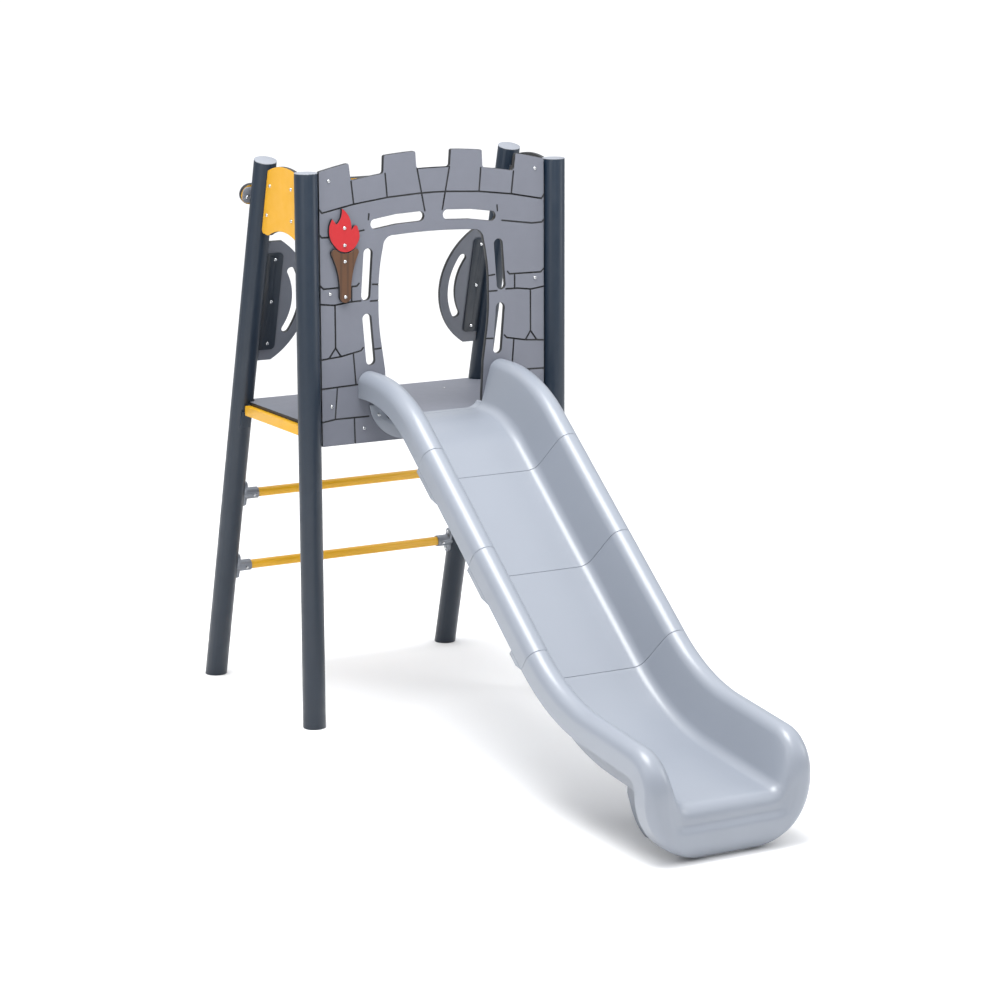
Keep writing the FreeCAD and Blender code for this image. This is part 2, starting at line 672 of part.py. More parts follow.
# ---------------------------------------------------------------- deck and its tubes
def build_deck():
    deck = block(-DECK_HALF_WIDTH, DECK_HALF_WIDTH, DECK_FRONT_Y, DECK_REAR_Y, DECK_UNDER_Z, DECK_Z)
    deck = drilled(deck, front_post_room(POST_NOTCH) + rear_post_room(POST_NOTCH))
    for x_sign in (-1, 1):
        x0, x1 = sorted((x_sign * (HALF_PITCH - POST_R - POST_NOTCH), x_sign * 600))
        deck = deck.cut(block(x0, x1, 0, POST_R + POST_NOTCH, DECK_UNDER_Z, DECK_Z))
    biggest = max(deck.Solids, key=lambda s: s.Volume)

    half_w = BEAM_W / 2
    half_h = BEAM_H / 2
    beam_y0 = POST_R + BRACKET_T + SEAT
    beam_y1 = rear_axis_y(BEAM_Z + half_h) - (POST_R + BRACKET_T) / math.cos(math.radians(LEAN)) - 1.0
    bar = block(-HALF_PITCH - half_w, -HALF_PITCH + half_w, beam_y0, beam_y1, BEAM_Z - half_h, BEAM_Z + half_h)
    core = block(-HALF_PITCH - half_w + BEAM_WALL, -HALF_PITCH + half_w - BEAM_WALL, beam_y0, beam_y1,
                 BEAM_Z - half_h + BEAM_WALL, BEAM_Z + half_h - BEAM_WALL)
    beam = bar.cut(core)
    save("deck_beam_left", beam)
    save("deck_beam_right", mirror_x(beam))

    slim = BEAM_WALL + BORE_PLAY
    pad = BRACKET_W / 2
    brackets = []
    for y0, y1 in ((POST_R, beam_y0 + TONGUE), (beam_y1 - TONGUE, beam_y1 + BRACKET_T)):
        brackets.append(block(-HALF_PITCH - half_w + slim, -HALF_PITCH + half_w - slim, y0, y1,
                              BEAM_Z - half_h + slim, BEAM_Z + half_h - slim))
    front_pad = block(-HALF_PITCH - pad, -HALF_PITCH + pad, 0, POST_R + BRACKET_T,
                      BEAM_Z - BRACKET_DROP, BEAM_Z + half_h)
    rear_pad = leaned(block(-HALF_PITCH - pad, -HALF_PITCH + pad, -POST_R - BRACKET_T, 0,
                            along_post(BEAM_Z) - BRACKET_DROP, along_post(BEAM_Z) + half_h - 12))
    rear_cut = leaned(block(-700, -400, 0, 300, 800, 1600))
    sockets = [
        drilled(front_pad.fuse(brackets[0]), front_post_room()),
        drilled(rear_pad.fuse(brackets[1]), rear_post_room() + [rear_cut]),
    ]
    sockets = [max(piece.Solids, key=lambda s: s.Volume) for piece in sockets]
    save("beam_sockets_left", *sockets)
    save("beam_sockets_right", *[mirror_x(s) for s in sockets])

    joists = []
    inner = HALF_PITCH
    for y in (150.0, 480.0):
        joist = block(-inner, inner, y - 20, y + 20, DECK_UNDER_Z - SEAT - 25, DECK_UNDER_Z - SEAT)
        hollow = block(-inner, inner, y - 17, y + 17, DECK_UNDER_Z - SEAT - 22, DECK_UNDER_Z - SEAT - 3)
        outer = half_w + SEAT
        posts_x = (-HALF_PITCH, HALF_PITCH)
        beam_room = [block(x - outer, x + outer, 0, 700, BEAM_Z - 60, DECK_Z) for x in posts_x]
        trimmed = drilled(joist.cut(hollow), beam_room)
        joists.append(max(trimmed.Solids, key=lambda s: s.Volume))

    bolts = []
    for x in (-300.0, 0.0, 300.0):
        for y in (150.0, 480.0):
            at = (x, y, DECK_Z)
            grip = DECK_T + SEAT + 3.0
            bolts.append(bolt_flush(at, grip))
            biggest = biggest.cut(bolt_flush_room(at, grip))
    joists = [j.cut(Part.makeCompound([bolt_flush_room((x, y, DECK_Z), 22.0)
                                       for x in (-300.0, 0.0, 300.0) for y in (150.0, 480.0)])) for j in joists]
    save("deck_joists", *joists)
    save("deck_bolts", *bolts)
    save("deck", biggest)


def bolt_flush(point, grip):
    """A countersunk deck screw, its head level with the deck."""
    x, y, z = point
    head = Part.makeCone(3.0 + 4.0, 4.0, 4.0, V(x, y, z), V(0, 0, -1))
    shank = rod((x, y, z), (0, 0, -1), 4.0, grip)
    key = rod((x, y, z), (0, 0, -1), HEX_KEY / 2, 2.5)
    return head.fuse(shank).cut(key)


def bolt_flush_room(point, grip):
    x, y, z = point
    head = Part.makeCone(7.0 + BORE_PLAY, 4.0 + BORE_PLAY, 4.0, V(x, y, z), V(0, 0, -1))
    shank = rod((x, y, z), (0, 0, -1), 4.0 + BORE_PLAY, grip)
    return head.fuse(shank)


# ---------------------------------------------------------------- ladder
def build_ladder():
    """Two rungs between cast sockets on the leaning posts."""
    post_face = HALF_PITCH - POST_R
    rung_half = post_face - 14.0
    left = []
    right = []
    bolts = []
    for name, height in zip(("rung_lower", "rung_upper"), RUNG_HEIGHTS):
        s = along_post(height)
        rung = tube((-rung_half, 0, s), (1, 0, 0), RUNG_D / 2, RUNG_WALL, 2 * rung_half)
        save(name, leaned(rung))
        barrel = rod((post_face - SOCKET_REACH, 0, s), (1, 0, 0), SOCKET_D / 2, SOCKET_REACH + POST_R)
        half_h = SOCKET_PLATE_H / 2 - SOCKET_PLATE_W / 2
        x0 = post_face - SOCKET_PLATE_T
        plate = block(x0, HALF_PITCH, -SOCKET_PLATE_W / 2, SOCKET_PLATE_W / 2, s - half_h, s + half_h)
        width = HALF_PITCH - x0
        ends = [rod((x0, 0, s + sign * half_h), (1, 0, 0), SOCKET_PLATE_W / 2, width) for sign in (-1, 1)]
        bore = rod((0, 0, s), (1, 0, 0), RUNG_D / 2 + BORE_PLAY, rung_half + SEAT)
        post_room = rod((HALF_PITCH, 0, s - 200), (0, 0, 1), POST_R + SEAT, 400)
        far = block(HALF_PITCH - 8, HALF_PITCH + 200, -200, 200, s - 200, s + 200)
        socket = drilled(barrel.fuse([plate] + ends), [bore, post_room, far]).removeSplitter()
        socket = max(socket.Solids, key=lambda piece: piece.Volume)
        for sign in (-1, 1):
            at = (x0, 0, s + sign * (half_h + 4))
            socket = socket.cut(bolt_hole(at, (1, 0, 0), SOCKET_PLATE_T))
            ladder_bolt = bolt(at, (1, 0, 0), SOCKET_PLATE_T - SEAT)
            bolts += [leaned(b) for b in both(ladder_bolt)]
        pin_x = post_face - SOCKET_REACH + 22
        pin_at = (pin_x, -SOCKET_D / 2, s)
        socket = socket.cut(bolt_hole((pin_x, -SOCKET_D / 2, s), (0, 1, 0), SOCKET_D / 2 - RUNG_D / 2 + 2))
        bolts += [leaned(b) for b in both(bolt(pin_at, (0, 1, 0), SOCKET_D / 2 - RUNG_D / 2 - SEAT, 12.0))]
        right.append(leaned(socket))
        left.append(leaned(mirror_x(socket)))
    save("rung_sockets_left", *left)
    save("rung_sockets_right", *right)
    save("ladder_bolts", *bolts)


# ---------------------------------------------------------------- slide path and section
def station(y, z, angle):
    """A place on the slide bed: point, downhill direction and the direction off the bed."""
    a = math.radians(angle)
    return V(0, y, z), V(0, -math.cos(a), -math.sin(a)), V(0, -math.sin(a), math.cos(a))


CREST = math.radians(SLIDE_ANGLE)
TOE = math.radians(SLIDE_EXIT_ANGLE)
CREST_END = (SLIDE_FLAT_Y - SLIDE_CREST_R * math.sin(CREST), DECK_Z - SLIDE_CREST_R * (1 - math.cos(CREST)))


def on_slope(run):
    """The bed point a distance down the straight slope."""
    return CREST_END[0] - run * math.cos(CREST), CREST_END[1] - run * math.sin(CREST)


TOE_START = on_slope(SLIDE_FIRST_RUN + 2 * SLIDE_PITCH)


def toe_point(angle):
    """The bed point of the levelling arc where the slope has come down to an angle."""
    a = math.radians(angle)
    y = TOE_START[0] - SLIDE_TOE_R * (math.sin(CREST) - math.sin(a))
    return y, TOE_START[1] - SLIDE_TOE_R * (math.cos(a) - math.cos(CREST))


TOE_END = toe_point(SLIDE_EXIT_ANGLE)


def bed_height(y):
    """Bed height on the last, nearly level run."""
    return TOE_END[1] + (y - TOE_END[0]) * math.tan(TOE)


FILLET_C = (BED_HALF, BED_FILLET)
LEAN_C = math.cos(math.radians(WALL_LEAN))
LEAN_S = math.sin(math.radians(WALL_LEAN))
RAIL_CN = RAIL_TOP - RAIL_R
WALL_RUN = (RAIL_CN - BED_FILLET * (1 - LEAN_S) + RAIL_R * LEAN_S) / LEAN_C
RAIL_CX = BED_HALF + (BED_FILLET + RAIL_R) * LEAN_C + WALL_RUN * LEAN_S


def half_skin(off):
    """Right half of the trough surface, off millimetres inside the skin, from bed to rail edge."""
    r_fillet = BED_FILLET + off
    r_rail = RAIL_R - off
    mid = math.radians((90 + WALL_LEAN) / 2)
    t1 = (BED_HALF, -off)
    m1 = (FILLET_C[0] + r_fillet * math.cos(mid), FILLET_C[1] - r_fillet * math.sin(mid))
    t2 = (FILLET_C[0] + r_fillet * LEAN_C, FILLET_C[1] - r_fillet * LEAN_S)
    t3 = (RAIL_CX - r_rail * LEAN_C, RAIL_CN + r_rail * LEAN_S)
    top = (RAIL_CX, RAIL_CN + r_rail)
    t4 = (RAIL_CX + r_rail, RAIL_CN)
    t5 = (RAIL_CX + r_rail, RAIL_EDGE_N)
    return [t1, (m1, t2), t3, (top, t4), t5]


def flip(item):
    if isinstance(item[0], tuple):
        return tuple(flip(p) for p in item)
    return (-item[0], item[1])


def reversed_path(items):
    """The same path of lines and arcs walked backwards."""
    flat = []
    last = None
    for item in items:
        if isinstance(item[0], tuple):
            flat.append(("arc", last, item[0], item[1]))
            last = item[1]
        else:
            if last is not None:
                flat.append(("line", last, None, item))
            last = item
    out = [last]
    for kind, start, mid, _ in reversed(flat):
        out.append((mid, start) if kind == "arc" else start)
    return out


def skin_path(off):
    """Full trough surface from the left rail edge to the right one."""
    right = half_skin(off)
    left = reversed_path([flip(i) for i in right])
    return left + right


def placed(item, where):
    point, _, normal = where
    if isinstance(item[0], tuple):
        return tuple(placed(p, where) for p in item)
    p = point.add(V(item[0], 0, 0)).add(V(normal).multiply(item[1]))
    return (p.x, p.y, p.z)


def trough_face(where):
    path = skin_path(0.0) + reversed_path(skin_path(SLIDE_T))
    return Part.Face(outline([placed(i, where) for i in path]))


def trough_space_face(where, off, top=420.0):
    """Everything above the trough's skin, off millimetres into it, between the rails' crowns."""
    half_turn = math.radians((90 + WALL_LEAN) / 2)
    r = RAIL_R - off
    crown_mid = (RAIL_CX - r * math.cos(half_turn), RAIL_CN + r * math.sin(half_turn))
    right = half_skin(off)[:3] + [(crown_mid, (RAIL_CX, RAIL_TOP - off)), (RAIL_CX, top)]
    left = reversed_path([flip(i) for i in right])
    return Part.Face(outline([placed(i, where) for i in left + right]))


def straight(y, z, angle, length):
    where = station(y, z, angle)
    return trough_face(where).extrude(V(where[1]).multiply(length))


def bend(y, z, angle, radius, turn, crest):
    """An arc of trough; a crest turns downwards about a centre under the bed, a toe levels out."""
    where = station(y, z, angle)
    side = -1.0 if crest else 1.0
    centre = where[0].add(V(where[2]).multiply(side * radius))
    spin = turn if crest else -turn
    return trough_face(where).revolve(centre, V(1, 0, 0), spin)


def build_slide():
    face_y = PANEL_FRONT_Y - SEAT
    half_seam = SEAM / 2
    entry = straight(face_y, DECK_Z, 0.0, face_y - SLIDE_FLAT_Y)
    tongue = straight(DECK_FRONT_Y - SEAT, DECK_Z, 0.0, DECK_FRONT_Y - SEAT - face_y + 1)
    door_half = DOOR_FOOT_HALF - 3.0
    tongue = tongue.common(block(-door_half, door_half, -40, 60, DECK_Z - 50, DECK_Z + 45))
    crest = bend(SLIDE_FLAT_Y, DECK_Z, 0.0, SLIDE_CREST_R, SLIDE_ANGLE, True)
    run = straight(CREST_END[0], CREST_END[1], SLIDE_ANGLE, SLIDE_FIRST_RUN - half_seam)
    save("slide_start", fused([entry, tongue, crest, run]))
    for i, node in enumerate(("slide_upper", "slide_lower")):
        y, z = on_slope(SLIDE_FIRST_RUN + i * SLIDE_PITCH + half_seam)
        save(node, straight(y, z, SLIDE_ANGLE, SLIDE_PITCH - SEAM))
    build_exit()
    build_start_flange()
    build_joints()


def fused(solids):
    return solids[0].fuse(solids[1:]).removeSplitter()


NOSE_BACK_Y = -1790.0
SKIRT_FOOT_Y = -2076.0


def rail_line(y, shrink=0.0):
    """Height of the rails' crowns over the last run."""
    return bed_height(y) + (RAIL_TOP - shrink) / math.cos(TOE)


def nose_side_profile(shrink):
    """Side view of the nose: rail crown, round front, straight drop, short floor."""
    y_c = SLIDE_NOSE_Y + NOSE_R
    z_c = rail_line(y_c) - NOSE_R / math.cos(TOE)
    r = NOSE_R - shrink
    front = SLIDE_NOSE_Y + shrink
    floor_z = NOSE_GROUND + shrink
    back = NOSE_BACK_Y + (20.0 if shrink else 0.0)
    half_turn = (math.pi / 2 + TOE) / 2
    return [
        (back, rail_line(back, shrink)), (y_c - r * math.sin(TOE), z_c + r * math.cos(TOE)),
        ((y_c - r * math.sin(half_turn), z_c + r * math.cos(half_turn)), (front, z_c)),
        (front, 132.0), ((front + 13.5, 64.0), (front + 52, floor_z)), (back, floor_z),
    ]


def nose_front_profile(shrink):
    """Front view of the nose: wide at the rails, strongly rounded at the ground."""
    half = RAIL_CX + RAIL_R - shrink
    r = NOSE_CORNER_R - shrink
    floor_z = NOSE_GROUND + shrink
    corner = r * (1 - math.sqrt(0.5))
    return [
        (half, 600.0), (half, floor_z + r), ((half - corner, floor_z + corner), (half - r, floor_z)),
        (-half + r, floor_z), ((-half + corner, floor_z + corner), (-half, floor_z + r)), (-half, 600.0),
    ]


def nose_body(shrink):
    """The nose as a full body, its side view and front view crossed."""
    side = side_sheet(nose_side_profile(shrink), -400, 800)
    front = upright_sheet(nose_front_profile(shrink), SLIDE_NOSE_Y - 50, 440)
    return side.common(front)


def build_exit():
    """Levelling arc, last run and the rounded nose that stands on the ground."""
    start = SLIDE_ANGLE - math.degrees(SEAM / 2 / SLIDE_TOE_R)
    y, z = toe_point(start)
    toe = bend(y, z, start, SLIDE_TOE_R, start - SLIDE_EXIT_ANGLE, False)
    far_back = station(NOSE_BACK_Y + 40, bed_height(NOSE_BACK_Y + 40), SLIDE_EXIT_ANGLE)
    last = straight(TOE_END[0], TOE_END[1], SLIDE_EXIT_ANGLE, (TOE_END[0] - NOSE_BACK_Y) / math.cos(TOE) + 30)
    last = last.cut(block(-400, 400, NOSE_BACK_Y - 60, NOSE_BACK_Y, 100, 600))
    reach = (NOSE_BACK_Y - SLIDE_NOSE_Y) * 1.3 + 80
    ride = trough_space_face(far_back, 0.0).extrude(V(far_back[1]).multiply(reach))
    under = trough_space_face(far_back, SLIDE_T).extrude(V(far_back[1]).multiply(reach))
    under = under.fuse(lip_tool(SLIDE_T))
    shell = nose_body(0.0).cut(nose_body(SLIDE_T).cut(under))
    shell = shell.cut(ride).cut(lip_tool())
    for tool in skirt_tools():
        shell = shell.cut(tool)
    shell = max(shell.Solids, key=lambda piece: piece.Volume)
    body = fused([toe, last, shell] + runners(start))
    save("slide_exit", max(body.Solids, key=lambda piece: piece.Volume))


RUNNER = ((194.0, -40.0), (212.0, -40.0), (212.0, 27.0), (194.0, 7.0))
RUNNER_END_Y = -2052.0


def runners(start):
    """Stiffening runners moulded under the bed's two sides, along the levelling arc and the last run."""
    where = station(*toe_point(start), start)
    face = Part.Face(outline([placed(p, where) for p in RUNNER]))
    centre = where[0].add(V(where[2]).multiply(SLIDE_TOE_R))
    curved = face.revolve(centre, V(1, 0, 0), SLIDE_EXIT_ANGLE - start)
    where = station(*TOE_END, SLIDE_EXIT_ANGLE)
    face = Part.Face(outline([placed(p, where) for p in RUNNER]))
    level = face.extrude(V(where[1]).multiply((TOE_END[0] - RUNNER_END_Y) / math.cos(TOE)))
    side = curved.fuse(level)
    return [side, mirror_x(side)]


def skirt_tools():
    """Shape the nose's open back: the rails' lower edges run on, then drop to the ground."""
    edge_z = bed_height(SKIRT_FOOT_Y) + RAIL_EDGE_N / math.cos(TOE)
    rise = (NOSE_BACK_Y - SKIRT_FOOT_Y) * math.tan(TOE)
    y0, y1 = SKIRT_FOOT_Y, NOSE_BACK_Y + 60
    sweep = [
        (y1, edge_z + rise), (NOSE_BACK_Y, edge_z + rise), (y0 + 60, edge_z + 6),
        ((y0 + 17, edge_z - 14), (y0, edge_z - 58)), (y0, -1.0), (y1, -1.0),
    ]
    reach = RAIL_CX - 20
    side = side_sheet(sweep, reach, 100)
    low = block(-reach, reach, y0, y1, -1, bed_height(y0) - SLIDE_T - 30)
    return [side, mirror_x(side), low]


def lip_tool(off=0.0):
    """Rounds the bed over into the front of the nose, off millimetres into the skin."""
    y0 = SLIDE_NOSE_Y
    z0 = bed_height(y0 + LIP_R)
    r = LIP_R - off
    corner = LIP_R - r * math.sqrt(0.5)
    half = BED_HALF + 12 + off
    points = [
        (y0 - 5, z0 + 60), (y0 + LIP_R, z0 + 60), (y0 + LIP_R, z0 - off),
        ((y0 + corner, z0 - corner), (y0 + off, z0 - LIP_R)), (y0 - 5, z0 - LIP_R),
    ]
    return side_sheet(points, -half, 2 * half)


# ---------------------------------------------------------------- start flange and joints
FLANGE_R = 158.0
FLANGE_X = 130.0
FLANGE_Z = DECK_Z + 72.0
FLANGE_BAND = 50.0
FLANGE_T = 8.0


def build_start_flange():
    """The moulded collar that bolts the slide's head to the front of the panel."""
    y1 = PANEL_FRONT_Y - SEAT
    y0 = y1 - FLANGE_T
    outer = slot_like(FLANGE_R, y0, FLANGE_T)
    inner = slot_like(FLANGE_R - FLANGE_BAND, y0 - 1, FLANGE_T + 2)
    band = outer.cut(inner)
    band = band.common(block(-400, 400, y0 - 1, y1 + 1, FLANGE_Z - FLANGE_R - 5, FLANGE_Z - 15))
    where = station(y1, DECK_Z, 0.0)
    skin_room = Part.Face(outline([placed(i, where) for i in skin_path(SLIDE_T + SEAT)]
                                  + [(700, y1, DECK_Z + RAIL_EDGE_N), (700, y1, DECK_Z + 400),
                                     (-700, y1, DECK_Z + 400), (-700, y1, DECK_Z + RAIL_EDGE_N)]))
    band = band.cut(skin_room.extrude(V(0, -FLANGE_T - 2, 0)))
    pieces = sorted(band.Solids, key=lambda s: -s.Volume)
    body = pieces[0]
    bolts = []
    for x, z in ((251.0, 1217.0), (150.0, 1140.0)):
        for x_sign in (-1, 1):
            at = (x_sign * x, y0, z)
            grip = FLANGE_T + SEAT + PANEL_T - 2
            bolts.append(bolt(at, (0, 1, 0), grip))
            hole = bolt_hole(at, (0, 1, 0), grip)
            body = body.cut(hole)
            panel = PIECES["castle_panel"]
            PIECES["castle_panel"] = panel.cut(hole.translated(V(0, -ORIGIN_Y, 0)))
    save("slide_flange", body)
    save("flange_bolts", *bolts)


def slot_like(radius, y0, depth):
    """A wide plate with half-round ends under the slide's head."""
    bar = block(-FLANGE_X, FLANGE_X, y0, y0 + depth, FLANGE_Z - radius, FLANGE_Z + radius)
    ends = [rod((x, y0, FLANGE_Z), (0, 1, 0), radius, depth) for x in (-FLANGE_X, FLANGE_X)]
    return bar.fuse(ends)


LUG_LENGTH = 186.0
LUG_DROP = 20.0
LUG_W = 26.0
SADDLE_W = 30.0
SADDLE_T = 10.0


def build_joints():
    """At each seam a cross saddle under the bed and a lug on each rail's lower edge."""
    lugs = []
    bolts = []
    names = ("saddle_upper", "saddle_middle", "saddle_lower")
    for i, node in enumerate(names):
        run = SLIDE_FIRST_RUN + i * SLIDE_PITCH
        last = i == len(names) - 1
        y, z = on_slope(run - SADDLE_W - 2) if last else on_slope(run - SADDLE_W / 2)
        where = station(y, z, SLIDE_ANGLE)
        face = Part.Face(outline([placed(p, where) for p in saddle_path(SLIDE_T + SEAT)
                                  + reversed_path(saddle_path(SLIDE_T + SEAT + SADDLE_T))]))
        save(node, face.extrude(V(where[1]).multiply(SADDLE_W)))
        y, z = on_slope(run - LUG_LENGTH * 0.5) if last else on_slope(run)
        where = station(y, z, SLIDE_ANGLE)
        lug, lug_bolt = joint_lug(where, LUG_LENGTH * 0.5 if last else LUG_LENGTH)
        lugs += both(lug)
        bolts += both(lug_bolt)
    save("joint_lugs", *lugs)
    save("joint_bolts", *bolts)


def saddle_path(off):
    """The part of the trough's underside that a saddle hugs, from wall to wall."""
    right = half_skin(off)[:2]
    t2 = right[1][1]
    rise = 45.0
    right.append((t2[0] + rise * LEAN_S, t2[1] + rise * LEAN_C))
    left = reversed_path([flip(p) for p in right])
    return left + right


def joint_lug(where, length):
    """A tapered lug under the rail's outer edge, its bolt in the lower end."""
    point, down, normal = where
    edge_x = half_skin(0.0)[-1][0]
    x0 = edge_x - LUG_W
    top = RAIL_EDGE_N - SEAT
    corner = lambda run, n: point.add(V(down).multiply(run)).add(V(normal).multiply(n)).add(V(x0, 0, 0))
    taper = min(48.0, length * 0.4)
    low = top - LUG_DROP
    pts = [corner(0.5, top), corner(length, top), corner(length - taper, low), corner(0.5, low)]
    lug = Part.Face(Part.makePolygon(pts + [pts[0]])).extrude(V(LUG_W, 0, 0))
    at = point.add(V(down).multiply(length - taper - 26))
    at = at.add(V(normal).multiply(low)).add(V(x0 + LUG_W / 2, 0, 0))
    d = (normal.x, normal.y, normal.z)
    p = (at.x, at.y, at.z)
    reach = LUG_DROP - SEAT
    return lug.cut(bolt_hole(p, d, reach - 2)), bolt(p, d, reach - 2, 12.0)


# ---------------------------------------------------------------- exit legs
LEG_X = 140.0
LEG_W = 40.0
LEG_TOP_BACK_Y = -1700.0
LEG_FRONT_Y = -1876.0


def build_legs():
    """Two feet under the last run; the left and right pieces mirror."""
    top_off = (SLIDE_T + SEAT) / math.cos(TOE)
    y0, y1 = LEG_FRONT_Y, LEG_TOP_BACK_Y
    points = [
        (y1, bed_height(y1) - top_off), (y0, bed_height(y0) - top_off), (y0, 12.0), ((y0 + 4, 4), (y0 + 12, 0.0)),
        (y0 + 60, 0.0), ((y1 - 70, 24.0), (y1 - 20, 80.0)), (y1 + 6, 128.0),
    ]
    leg = side_sheet(points, -LEG_X, LEG_W)
    save("exit_leg_left", leg)
    save("exit_leg_right", mirror_x(leg))


build_posts()
build_torch(*build_panel())
build_side_panels()
build_header()
build_grips()
build_deck()
build_ladder()
build_slide()
build_legs()

os.makedirs("parts", exist_ok=True)
for node, shape in PIECES.items():
    shape.exportStep("parts/%s.step" % node)
print("wrote", len(PIECES), "nodes")
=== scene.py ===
"""Finished look of a castle tower with a straight slide, built around its CAD frame."""

import math

import bmesh
import bpy
import numpy as np
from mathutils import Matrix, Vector


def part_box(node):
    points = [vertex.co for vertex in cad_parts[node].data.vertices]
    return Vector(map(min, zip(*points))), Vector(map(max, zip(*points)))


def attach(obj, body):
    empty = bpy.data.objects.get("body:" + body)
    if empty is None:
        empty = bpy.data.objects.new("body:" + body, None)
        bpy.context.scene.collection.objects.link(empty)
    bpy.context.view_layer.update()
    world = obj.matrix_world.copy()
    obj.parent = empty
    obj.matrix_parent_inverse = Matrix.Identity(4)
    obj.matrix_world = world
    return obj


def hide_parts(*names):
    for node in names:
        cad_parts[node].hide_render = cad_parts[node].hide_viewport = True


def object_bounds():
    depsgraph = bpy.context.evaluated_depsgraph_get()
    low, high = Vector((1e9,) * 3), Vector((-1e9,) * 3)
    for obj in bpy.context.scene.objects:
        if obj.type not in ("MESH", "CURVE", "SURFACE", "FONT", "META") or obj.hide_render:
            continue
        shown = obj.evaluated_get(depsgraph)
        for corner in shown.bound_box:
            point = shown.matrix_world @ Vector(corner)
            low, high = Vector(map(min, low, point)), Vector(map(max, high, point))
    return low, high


bl_info = {
    "name": "Castle Tower Slide Finish",
    "version": (1, 0, 0),
    "blender": (4, 5, 0),
    "location": "View3D > Sidebar > Play Slide",
    "description": "Builds the finished pieces and stage of a small castle tower with a straight slide",
    "category": "Object",
}

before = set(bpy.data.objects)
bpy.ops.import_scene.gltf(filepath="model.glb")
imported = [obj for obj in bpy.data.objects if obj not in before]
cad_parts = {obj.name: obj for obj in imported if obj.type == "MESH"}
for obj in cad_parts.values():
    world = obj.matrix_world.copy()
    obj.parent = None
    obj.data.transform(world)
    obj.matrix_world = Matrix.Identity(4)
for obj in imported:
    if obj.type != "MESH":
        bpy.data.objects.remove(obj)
CAD_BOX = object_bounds()
BODY = "root"


def millimetres(value):
    return value / 1000.0


def linear(hex_colour):
    """An sRGB hex colour as linear red, green and blue."""
    out = []
    for i in (1, 3, 5):
        c = int(hex_colour[i:i + 2], 16) / 255.0
        out.append(c / 12.92 if c <= 0.04045 else ((c + 0.055) / 1.055) ** 2.4)
    return tuple(out)


# the frame's own planes
DECK_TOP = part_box("deck")[1].z
PANEL_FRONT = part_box("castle_panel")[0].y
PANEL_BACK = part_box("castle_panel")[1].y
NOSE_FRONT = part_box("slide_exit")[0].y
NOSE_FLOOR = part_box("slide_exit")[0].z
SLIDE_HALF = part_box("slide_exit")[1].x
DECK_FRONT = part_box("deck")[0].y
# the rear posts come forward 583 mm over a rise of 2183 mm
LEAN = math.atan2(0.583, 2.183)
LEAN_NORMAL = Vector((0.0, math.cos(LEAN), math.sin(LEAN)))
ACROSS = Vector((0.0, 1.0, 0.0))
SIDEWAYS = Vector((1.0, 0.0, 0.0))
UPRIGHT = Vector((0.0, 0.0, 1.0))

# ---------------------------------------------------------------- places on the slide
SEAT = millimetres(0.3)
FLAT_START = PANEL_FRONT - millimetres(64.0)
TONGUE_HALF = millimetres(206.0)
RUNNER_OUTLINE = ((0.194, -0.040), (0.212, -0.040), (0.212, 0.027), (0.194, 0.007))
RUNNER_END = NOSE_FRONT + millimetres(113.0)
# the lip stands back between the rails and comes level across these two widths
RECESS_ENDS = (millimetres(196.0), millimetres(272.0))
# heights on the nose's front: where the recess fades out, and where the foot curls under
SWELL_LEVELS = (millimetres(104.0), millimetres(142.0))
LEVEL_START = NOSE_FLOOR + millimetres(122.0)
CURL_HEIGHT = millimetres(126.0)
CURL_DEPTH = millimetres(52.0)
LEAST_STEP = millimetres(4.0)


# ---------------------------------------------------------------- sizes and colours
def length_property(name, description, default_mm):
    return bpy.props.FloatProperty(
        name=name, description=description, default=millimetres(default_mm),
        min=0.0, unit="LENGTH", precision=4,
    )


def colour_property(name, description, hex_colour):
    return bpy.props.FloatVectorProperty(
        name=name, description=description, default=linear(hex_colour),
        subtype="COLOR", size=3, min=0.0, max=1.0,
    )


